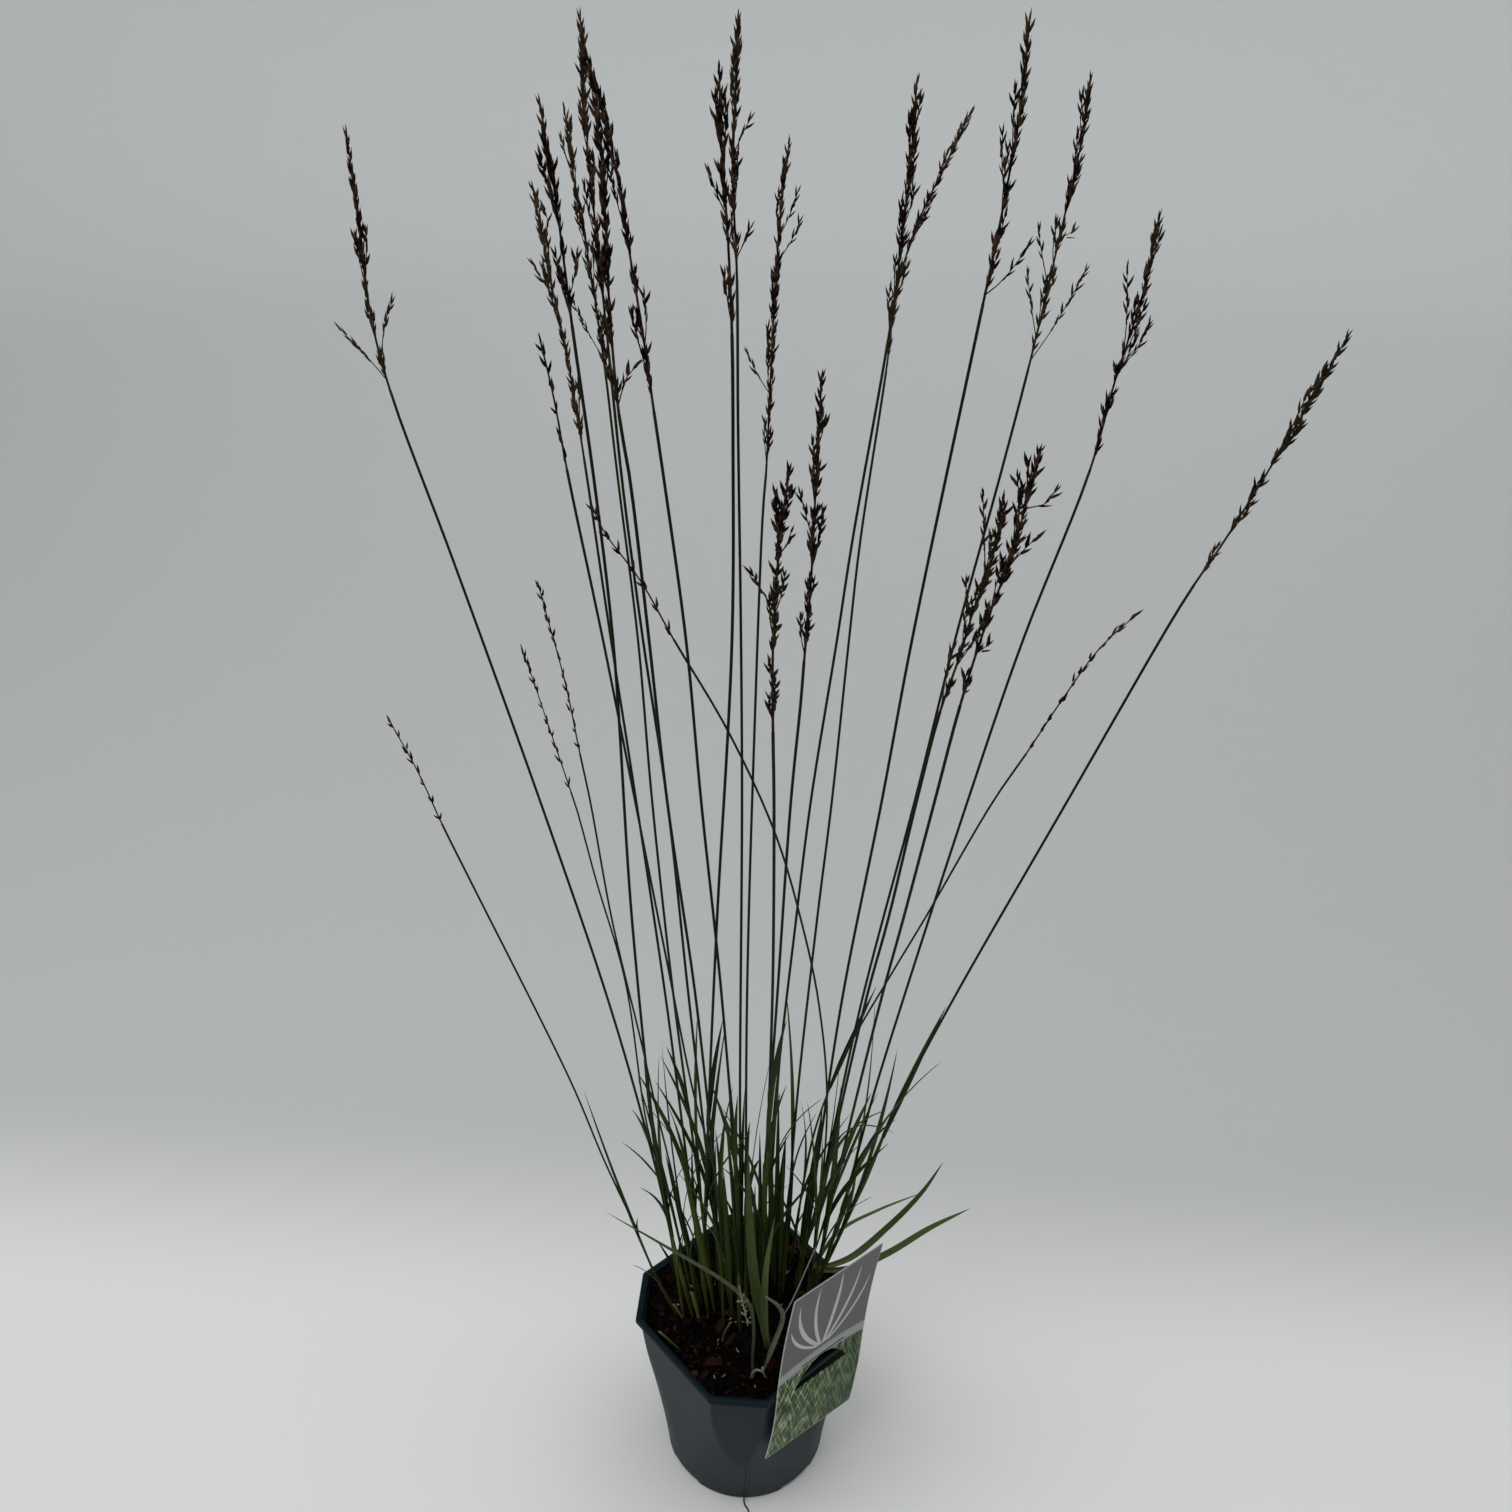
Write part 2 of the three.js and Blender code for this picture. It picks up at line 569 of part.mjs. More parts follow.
// A blade leaves its stem along it and bends over to its tip
function bladeCourse(stemCourse, collar, tip) {
  const root = stemCourse.at(collar);
  const heading = stemCourse.heading(collar);
  const length = root.distanceTo(tip);
  const shoulder = root.clone().addScaledVector(heading, 0.5 * length);
  return new Course(new THREE.QuadraticBezierCurve3(root, shoulder, tip).getPoints(12));
}

function bladeSide(course, heading) {
  const lean = course.at(course.length).sub(course.at(0)).normalize();
  const side = heading.clone().cross(lean);
  return side.length() > 0.02 ? side.normalize() : crossways(heading).side;
}

function collarDistance(stemCourse, pictureHeight) {
  let distance = 0;
  while (distance < stemCourse.length) {
    const ray = stemCourse.at(distance).sub(EYE);
    if (MIDDLE + (FOCAL * ray.dot(DOWN)) / ray.dot(AHEAD) < pictureHeight) break;
    distance += 2;
  }
  return distance;
}

// Blades whose tips are given by their picture places
function givenBlades({ blades = [] }, { stemCourse, depthAt }, owner) {
  return blades.map(({ collar, tip, depth, width }) => {
    const distance = collarDistance(stemCourse, collar);
    const tries = [0, 8, -8, 16, -16, 24, -24].map((extra) => {
      const course = bladeCourse(stemCourse, distance,
        placeAtDepth(tip, (height) => depthAt(height) + depth + extra));
      const room = Math.min(clearanceOf(course, owner, width / 2), ENOUGH_ROOM);
      const side = bladeSide(course, stemCourse.heading(distance));
      return { course, collar: distance, width, side, merit: room - Math.abs(extra) * 0.01 };
    });
    const best = tries.reduce((a, b) => (b.merit > a.merit ? b : a));
    take(best.course, owner, width / 2);
    return best;
  });
}

// Further blades, turned to where there is room for them
function blades(stemRecord, { stemCourse }, owner, random) {
  const made = [];
  for (let i = 0; i < BLADES_BY_RULE; i += 1) {
    const collar = COLLAR_STEP * i + drawn(FIRST_COLLAR, random);
    const length = drawn(RULE_LENGTH, random);
    const spread = drawn(RULE_SPREAD, random);
    const width = stemRecord.thin ? THIN_WIDTH : drawn(RULE_WIDTH, random);
    const turn = 2 * Math.PI * random();
    const heading = stemCourse.heading(collar);
    const { side, front } = crossways(heading);
    let best = null;
    for (let choice = 0; choice < BLADE_CHOICES; choice += 1) {
      const angle = turn + (2 * Math.PI * choice) / BLADE_CHOICES;
      const out = side.clone().multiplyScalar(Math.cos(angle)).addScaledVector(front, Math.sin(angle));
      const tip = stemCourse.at(collar).addScaledVector(heading, length * Math.cos(spread))
        .addScaledVector(out, length * Math.sin(spread));
      const course = bladeCourse(stemCourse, collar, tip);
      const merit = Math.min(clearanceOf(course, owner, width / 2), ENOUGH_ROOM);
      if (!best || merit > best.merit + 1e-6) {
        best = { course, collar, width, side: bladeSide(course, heading), merit };
      }
    }
    if (best.merit > LEAST_ROOM) {
      take(best.course, owner, width / 2);
      made.push(best);
    }
  }
  return made;
}

// Below its highest blade a stem is thickened by its sheaths
function stemRadii(stations, length, sheathEnd, slimness) {
  return stations.map((distance) => {
    if (distance <= 0) return FOOT_RADIUS * slimness;
    if (distance <= sheathEnd) return SHEATH_RADIUS * slimness;
    return THREE.MathUtils.lerp(BARE_RADIUS, TOP_RADIUS, distance / length) * slimness;
  });
}

const slimnessOf = ({ thin }) => (thin ? THIN_SHARE : 1);

function makeStem(record, { footPlace, stemCourse }, stemBlades) {
  const end = stemCourse.length - GAP / 2;
  const stations = [...STATIONS.filter((distance) => distance < end - 30), end];
  const sheathEnd = Math.max(80, ...stemBlades.map(({ collar }) => collar + 8));
  const radii = stemRadii(stations, end, sheathEnd, slimnessOf(record));
  const foot = footCourse(footPlace, stemCourse.heading(1));
  return fuse([
    tube(stemCourse, stations, radii, STEM_SIDES),
    tube(foot, [0, FOOT_DEPTH], [radii[0] * 0.9, radii[0]], STEM_SIDES),
    ...stemBlades.map(({ course, width, side }) => blade(course, width, side)),
  ]);
}

// Flower heads: a thin axis with stalked spikelets all round it, and the longer side sprigs

function spikelet(root, direction, length) {
  const spindle = new THREE.LatheGeometry([
    new THREE.Vector2(0, 0),
    new THREE.Vector2(SPIKELET_RADIUS, 0.58 * length),
    new THREE.Vector2(0, length),
  ], 3);
  const turn = new THREE.Quaternion().setFromUnitVectors(new THREE.Vector3(0, 1, 0), direction);
  return spindle.applyQuaternion(turn).translate(root.x, root.y, root.z);
}

function spikeletsAlong(course, start, spacing, length, random) {
  const made = [];
  let distance = start;
  while (distance < course.length - TIP_SPIKELET / 2) {
    const heading = course.heading(distance);
    const { side, front } = crossways(heading);
    const around = GOLDEN_ANGLE * made.length + 0.8 * random();
    const spread = drawn(SPIKELET_SPREAD, random);
    const out = side.multiplyScalar(Math.cos(around)).addScaledVector(front, Math.sin(around));
    const direction = heading.multiplyScalar(Math.cos(spread)).addScaledVector(out, Math.sin(spread));
    const fade = 1 - 0.3 * (distance / course.length);
    made.push(spikelet(course.at(distance), direction, length * fade));
    distance += spacing * drawn(SPACING_SPREAD, random);
  }
  const tip = course.length;
  made.push(spikelet(course.at(tip - TIP_SPIKELET + 1), course.heading(tip - 1), TIP_SPIKELET));
  return made;
}

function makeHead({ thin, sprigs = [] }, { depthAt, headCourse }, random) {
  const axis = headCourse.through([
    GAP / 2, ...[0.25, 0.5, 0.75].map((share) => share * headCourse.length), headCourse.length]);
  const bottom = thin ? SPRIG_RADIUS : AXIS_RADIUS;
  const stations = [...axis.distances.slice(0, -1), axis.length - 1];
  const radii = stations.map((distance) => (
    THREE.MathUtils.lerp(bottom, AXIS_TIP_RADIUS, distance / axis.length)));
  const spacing = thin ? SPARSE_SPACING : SPIKELET_SPACING;
  const length = thin ? SPARSE_LENGTH : SPIKELET_LENGTH;
  const pieces = [
    tube(axis, stations, radii, 3),
    ...spikeletsAlong(axis, 3, spacing, length, random),
  ];
  for (const sprig of sprigs) {
    const [root, ...others] = sprig.map((place) => placeAtDepth(place, (height) => depthAt(height) - 2));
    const course = new Course([axis.nearest(root), ...others]);
    const sprigStations = [0, course.distances[1], course.length - 1];
    pieces.push(
      tube(course, sprigStations, [SPRIG_RADIUS, SPRIG_RADIUS, SPRIG_RADIUS], 3),
      ...spikeletsAlong(course, course.length * 0.4, SPRIG_SPACING, SPARSE_LENGTH, random),
    );
  }
  return fuse(pieces);
}

// Leafy shoots

function makeShoot({ foot, blades: shootBlades }, owner) {
  const footPlace = placeOnSoil(foot);
  const pieces = shootBlades.map(({ places, depths, width }) => {
    const course = Course.smooth([footPlace, ...places.map((place, i) => (
      placeAtDepth(place, () => footPlace.y + depths[i])))]);
    take(course, owner, width / 2);
    return blade(course, width, bladeSide(course, course.heading(1)));
  });
  const sunk = footCourse(footPlace.clone().addScaledVector(UP, SHOOT_COLLAR), UP);
  pieces.push(tube(sunk, [0, FOOT_DEPTH], [SHOOT_RADIUS * 0.8, SHOOT_RADIUS], STEM_SIDES));
  return fuse(pieces);
}

// The hole that a stem stands in, open to the side it leans to
function footHole(place, heading, course, radius) {
  const low = place.clone().addScaledVector(heading, -FOOT_DEPTH - GAP);
  const line = new Course([low, place, course.at(28)]);
  const wide = radius + GAP * Math.SQRT2;
  return toSolid(tube(line, line.distances, [wide, wide + 0.1, wide + 0.8], STEM_SIDES));
}

// The soil dips round a leafy shoot
function soilDip({ x, y, z }) {
  const dip = new THREE.CylinderGeometry(DIP_TOP_RADIUS, DIP_FOOT_RADIUS, DIP_HEIGHT, 7);
  return toSolid(dip.rotateX(Math.PI / 2).translate(x, y, z - 0.5 + DIP_HEIGHT / 2));
}

const bandRadius = (angle) => wallRadius(angle, UPPER_BAND);

function makeSoil(holes) {
  const random = draws(4211);
  const relief = new Map();
  const surface = (height, x, y) => {
    if (height <= UPPER_BAND) return height;
    const key = `${x.toFixed(2)},${y.toFixed(2)}`;
    if (!relief.has(key)) relief.set(key, SOIL_RELIEF * (2 * random() - 1));
    return soilLevel(x, y) + relief.get(key);
  };
  const bed = toSolid(turnedShell([
    [null, null, FLOOR + GAP],
    [wallRadius, bedShare(0.985), FLOOR + GAP],
    [wallRadius, bedShare(1), LOWER_BAND],
    [wallRadius, bedShare(1), UPPER_BAND],
    ...[1, ...SOIL_RINGS].map((share) => [bandRadius, bedShare(share), SOIL_FRONT_LEVEL]),
    [null, null, SOIL_FRONT_LEVEL],
  ], surface));
  return holes.reduce((soil, hole) => soil.subtract(hole), addChips(bed, random));
}

// Bark chips lying half sunk in the surface
function addChips(bed, random) {
  let soil = bed;
  for (let i = 0; i < CHIP_COUNT; i += 1) {
    const angle = GOLDEN_ANGLE * i;
    const distance = CHIP_FIELD * Math.sqrt((i + 0.5) / CHIP_COUNT);
    const x = distance * Math.cos(angle);
    const y = distance * Math.sin(angle);
    const chip = new THREE.BoxGeometry(
      drawn(CHIP_LENGTH, random), drawn(CHIP_WIDTH, random), CHIP_THICKNESS);
    chip.rotateX(drawn(CHIP_TILT, random)).rotateY(drawn(CHIP_TILT, random));
    chip.rotateZ(Math.PI * random()).translate(x, y, soilLevel(x, y) + CHIP_LIFT);
    soil = soil.add(toSolid(chip));
  }
  return soil;
}

// Label: a bowed card with a window that the rim shows through, and a tongue inside the wall

function strip(centreLine, width) {
  const outline = new THREE.Shape();
  const offsets = centreLine.map((point, i) => {
    const before = centreLine[Math.max(0, i - 1)];
    const after = centreLine[Math.min(centreLine.length - 1, i + 1)];
    const along = after.clone().sub(before).normalize();
    return new THREE.Vector2(-along.y, along.x).multiplyScalar(CARD_THICKNESS / 2);
  });
  const upper = centreLine.map((point, i) => point.clone().add(offsets[i]));
  const lower = centreLine.map((point, i) => point.clone().sub(offsets[i])).reverse();
  outline.setFromPoints([...upper, ...lower]);
  const solid = new THREE.ExtrudeGeometry(outline, { depth: width, bevelEnabled: false, curveSegments: 1 });
  // The section lies in outward distance and height, and the width runs along the rim's edge
  return solid.translate(0, 0, -width / 2).rotateX(Math.PI / 2);
}

function makeLabel() {
  const rimOut = RIM_HALF_SIDE + GAP + CARD_THICKNESS / 2;
  const cardTop = CARD_FOOT + CARD_HEIGHT;
  const cardLine = [];
  for (let i = 0; i <= CARD_STEPS; i += 1) {
    const height = CARD_FOOT + (CARD_HEIGHT * i) / CARD_STEPS;
    const below = Math.max(0, (POT_HEIGHT - height) / (POT_HEIGHT - CARD_FOOT));
    const above = Math.max(0, (height - POT_HEIGHT) / (cardTop - POT_HEIGHT));
    const bow = CARD_BOW_BELOW * Math.sin(Math.PI * below) + CARD_BOW_ABOVE * Math.sin(Math.PI * above);
    const lean = (height - POT_HEIGHT) * Math.tan(CARD_LEAN);
    cardLine.push(new THREE.Vector2(rimOut + lean + bow, height));
  }
  const card = toSolid(strip(cardLine, CARD_WIDTH));
  const windowShape = new THREE.Shape();
  windowShape.moveTo(-WINDOW_WIDTH / 2, WINDOW_FOOT);
  windowShape.quadraticCurveTo(0, WINDOW_FOOT + 2 * WINDOW_RISE, WINDOW_WIDTH / 2, WINDOW_FOOT);
  const cutter = new THREE.ExtrudeGeometry(windowShape,
    { depth: 40, bevelEnabled: false, curveSegments: 10 });
  cutter.rotateX(Math.PI / 2).translate(0, 20, 0).rotateZ(-Math.PI / 2).translate(rimOut, 0, 0);
  const tongueTop = WINDOW_FOOT + WINDOW_RISE;
  const wallIn = RIM_HALF_SIDE - LIP_WIDTH - WALL;
  const tongueLine = [
    new THREE.Vector2(rimOut + 0.1, tongueTop + 1.5),
    new THREE.Vector2(rimOut - 2, tongueTop - 3.5),
    new THREE.Vector2(wallIn, POT_HEIGHT + 4),
    new THREE.Vector2(wallIn - 1.4, POT_HEIGHT - 4),
    new THREE.Vector2(wallIn - 3.4, TONGUE_END),
  ];
  const tongue = toSolid(strip(tongueLine, TONGUE_WIDTH));
  return card.subtract(toSolid(cutter)).add(tongue);
}

// The slit in the soil that the tongue stands in
function makeTongueSlit() {
  const slit = new THREE.BoxGeometry(SLIT_WIDTH, TONGUE_WIDTH + 1, POT_HEIGHT);
  const wallIn = RIM_HALF_SIDE - LIP_WIDTH - WALL;
  return slit.translate(wallIn + 0.6 - SLIT_WIDTH / 2, 0, TONGUE_END - 3 + POT_HEIGHT / 2);
}

// Where the label hangs: turned from +X to the front right long face of the pot, and tilted on the rim
const LABEL_PLACE = new THREE.Matrix4().makeRotationZ(-EIGHTH)
  .multiply(new THREE.Matrix4().makeTranslation(0, CARD_SHIFT, POT_HEIGHT))
  .multiply(new THREE.Matrix4().makeRotationX(CARD_TURN))
  .multiply(new THREE.Matrix4().makeTranslation(0, 0, -POT_HEIGHT));

// Finishes
const potPlastic = new THREE.MeshStandardMaterial({ color: 0x3a474d, roughness: 0.45, metalness: 0 });
const compost = new THREE.MeshStandardMaterial({ color: 0x2a1a14, roughness: 0.95, metalness: 0 });
const printedCard = new THREE.MeshStandardMaterial({ color: 0x6f7672, roughness: 0.4, metalness: 0 });
const stemGreen = () => new THREE.MeshStandardMaterial({ color: 0x33472b, roughness: 0.6, metalness: 0 });
const headPurple = () => new THREE.MeshStandardMaterial({ color: 0x3b2a2a, roughness: 0.8, metalness: 0 });
const paleStraw = new THREE.MeshStandardMaterial({ color: 0x9a9478, roughness: 0.8, metalness: 0 });

// Parts
const random = draws(20117);
const twoDigits = (number) => String(number).padStart(2, '0');

const shootSolids = SHOOTS.map((shoot, i) => makeShoot(shoot, STEMS.length + i));
const given = STEMS.map((record, i) => givenBlades(record, stemCourses[i], i));
const byRule = STEMS.map((record, i) => blades(record, stemCourses[i], i, random));

const holes = stemCourses.map(({ footPlace, stemCourse }, i) => (
  footHole(footPlace, stemCourse.heading(1), stemCourse, FOOT_RADIUS * slimnessOf(STEMS[i]))));
SHOOTS.forEach(({ foot }) => {
  const place = placeOnSoil(foot);
  const above = footCourse(place.clone().addScaledVector(UP, 30), UP);
  holes.push(footHole(place, UP, above, SHOOT_RADIUS), soilDip(place));
});
holes.push(toSolid(makeTongueSlit().applyMatrix4(LABEL_PLACE)));

addPart('pot', toGeometry(makePot()), potPlastic);
addPart('soil', toGeometry(makeSoil(holes)), compost);
addPart('label', toGeometry(makeLabel()), printedCard).applyMatrix4(LABEL_PLACE);
STEMS.forEach((record, i) => {
  const number = twoDigits(i + 1);
  const stemBlades = [...given[i], ...byRule[i]];
  addPart(`culm_${number}`, toGeometry(makeStem(record, stemCourses[i], stemBlades)), stemGreen());
  addPart(`panicle_${number}`, toGeometry(makeHead(record, stemCourses[i], random)), headPurple());
});
SHOOTS.forEach(({ name }, i) => {
  addPart(name, toGeometry(shootSolids[i]), name === 'shoot_withered' ? paleStraw : stemGreen());
});

export default plant;
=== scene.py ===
import bisect
import math

import bmesh
import bpy
import numpy as np
from mathutils import Matrix, Vector, noise


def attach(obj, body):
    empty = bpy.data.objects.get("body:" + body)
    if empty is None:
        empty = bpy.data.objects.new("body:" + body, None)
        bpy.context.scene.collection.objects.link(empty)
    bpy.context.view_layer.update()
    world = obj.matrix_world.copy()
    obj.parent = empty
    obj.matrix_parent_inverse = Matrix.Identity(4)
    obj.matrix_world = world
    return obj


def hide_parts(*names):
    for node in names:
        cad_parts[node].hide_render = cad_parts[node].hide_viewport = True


# A clump of purple moor grass in flower, standing in a thin plastic nursery pot.
# Lengths are millimetres until a piece is finished, which turns its mesh to metres.

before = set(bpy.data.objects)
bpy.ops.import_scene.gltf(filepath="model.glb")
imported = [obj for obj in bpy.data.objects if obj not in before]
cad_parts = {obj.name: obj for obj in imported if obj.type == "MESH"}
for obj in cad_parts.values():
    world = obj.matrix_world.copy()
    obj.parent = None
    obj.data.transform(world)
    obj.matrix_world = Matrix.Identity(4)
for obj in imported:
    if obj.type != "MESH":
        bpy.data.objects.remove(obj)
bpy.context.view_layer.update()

MM = 0.001
SEAM = 0.002
UP = Vector((0, 0, 1))
GOLDEN_ANGLE = 2.39996
# The first number of each row of draws
SEEDS = dict(bark=7331, fibres=409, splinters=515, ruled_blades=20117, finer_blades=911,
             basal_blades=2203, stems=3001, shoots=77, front_bits=64)
STEM_SEED_STEP = 17

# Flower heads; spreads are in degrees
SPIKELET_SIZE = 6.5
SPIKELET_SPREAD = (8, 21)
SPIKELET_STEP = 2.3
# Length, radius, lean and turn of each floret of a spikelet that is 1 long
FLORETS = ((1, 0.105, 0, 0), (0.8, 0.085, 0.13, 0.6))
HEAD_BARE_SHARE = 0.02
TOP_EAR_LENGTH = 27
TIER_STEP = 9.4
TIER_BRANCHES = 2
LONG_BRANCH_CHANCE = 0.62
# Lengths and spreads of a tier's branches, and the share of them that is bare
SHORT_BRANCH = ((9, 19), (4, 10), 0.22)
LONG_BRANCH = ((20, 40), (7, 15), 0.42)
LEAST_BRANCH = 4
SPRIG_BARE_SHARE = 0.32
SPRIG_STEP = 1.3 * SPIKELET_STEP
SPRIG_DEPTH = 2
# Radius of an axis at its foot and its tip
AXIS_RADII = (0.62, 0.34)
THIN_AXIS_RADII = (0.42, 0.28)
EAR_AXIS_RADII = (0.30, 0.16)
# Thin heads: bunches of spikelets
BUNCH_STEP = 12
BUNCH_SPIKELETS = 2
BUNCH_REACH = 4
BUNCH_SPIKELET_SIZE = 6
SPRAY_STALKS = 30

# Pot: a square with cut corners at the rim, a circle at the base
POT_HEIGHT = 150
RIM_HALF_SIDE = 70
RIM_CUT_CORNER = 79
BASE_RADIUS = 60
LIP_WIDTH = 3.2
LIP_HEIGHT = 4
WALL = 1.5
FLOOR = 1.8
RIM_CORNER_ROUNDING = 20
ROUNDING_POWER = 1.75
CUT_FACE_SLOPE = 14.5
CORNER_SOFTNESS = 0.15
RIB_HEIGHTS = (139.8, 142.8)
RIB_DEPTH = 0.35
NOTCH_WIDTH = 29
NOTCH_HEIGHT = 4
NOTCH_DEPTH = 9
NOTCH_ROUNDING = 2.4
POT_AROUND = 480
WALL_ROW = 4

# Compost: low at the front, heaped at the back
SOIL_FRONT_LEVEL = 137
SOIL_RISE = 15
SOIL_RISE_START = -35
SOIL_RISE_END = 60
SOIL_AROUND = 180
SOIL_RING = 1.7
SOIL_GAP = 0.35
CHIP_FIELD = 48
BIG_CHIPS = 8
SMALL_CHIPS = 1300
SMALL_CHIP_FIELD = 74
CHIP_SHAPES = 6
LUMP_CHIPS = 5
# Where lumps of bark are seen along the back of the rim
LUMPS = [(664, 1262), (676, 1243), (735, 1219), (746, 1219), (786, 1224), (806, 1240), (812, 1250)]
FIBRES = 300
SPLINTERS = 40

# Label: a card clipped over the front right of the rim
CARD_WIDTH = 82
CARD_HEIGHT = 170
CARD_THICKNESS = 0.7
CARD_CORNER = 1.5
CARD_FOOT = 76
CARD_SHIFT = 8
CARD_TURN = math.radians(-5.7)
CARD_LEAN = math.radians(2.1)
CARD_BOW_BELOW = 2
CARD_BOW_ABOVE = -1.5
WINDOW_WIDTH = 52
WINDOW_FOOT = 140
WINDOW_RISE = 21
TONGUE_WIDTH = 40
TONGUE_END = 112
# The white blades printed on the card: foot, tip, radius of the bend and half width
TUFT_BLADES = [
    ((36, 97), (8, 158), -90, 3.0), ((37, 97), (25, 166), -150, 2.6), ((39, 97), (45, 167), 160, 3.2),
    ((41, 97), (64, 160), 95, 2.8), ((43, 97), (77, 142), 62, 2.4), ((34, 97), (4, 134), -56, 2.2)]

# Stems and blades
FOOT_DEPTH = 12
BARE_RADIUS = 0.92
TOP_RADIUS = 0.74
SHEATH_RADIUS = 1.5
SHEATH_WALL = 0.16
LOW_COLLAR = 80
THIN_SHARE = 0.75
FAN_HEIGHT = 800
FAN_POWER = 1.3
STEM_AROUND = 8
STEM_ROW = 14
BLADE_AROUND = 12
BLADE_ROWS = 26
BLADE_THICKNESS = 0.45
BEND_STEPS = 12
BLADES_BY_RULE = 2
FIRST_COLLAR = (26, 52)
COLLAR_STEP = 50
RULE_LENGTH = (75, 140)
RULE_SPREAD = (math.radians(9), math.radians(22))
RULE_WIDTH = (3, 4.2)
THIN_WIDTH = 2.4
BLADE_CHOICES = 16
FINER_WIDTH = (3.4, 5.0)
THIN_FINER_WIDTH = (1.8, 2.4)
FINER_COLLAR = (40, 100)
FINER_LENGTH = (120, 215)
FINER_SPREAD = (math.radians(3), math.radians(8))
BASAL_BLADES = 24
BASAL_LENGTH = (100, 215)
BASAL_WIDTH = (3.6, 6.2)
BASAL_BEND = (0.06, 0.24)

# Room that a blade needs: how the courses are cut up to measure it, and how much is enough
STRETCH = 8
PROBE_STEP = 4
STEM_ROOM = 1.55
STEM_ROOM_HEIGHT = 270
ENOUGH_ROOM = 3
LEAST_ROOM = 0.6
LEAST_BASAL_ROOM = -0.4
DEPTH_TRIES = (0, 8, -8, 16, -16, 24, -24)

# Viewpoint that the stems' courses are given from, and the size of the picture taken there
EYE = Vector((43.8, -667, 1067.1))
FOCAL = 1457
PICTURE = 1512
MIDDLE = 756
PITCH = math.radians(33.32)
YAW = math.radians(3.69)
ROLL = math.radians(-0.84)
SIGHT_ROUNDS = 40
COURSE_STEPS = 12

# Stage, in metres
STAGE_RADIUS = 3.2
STAGE_CURVE = 1.2
STAGE_TOP = 3.4

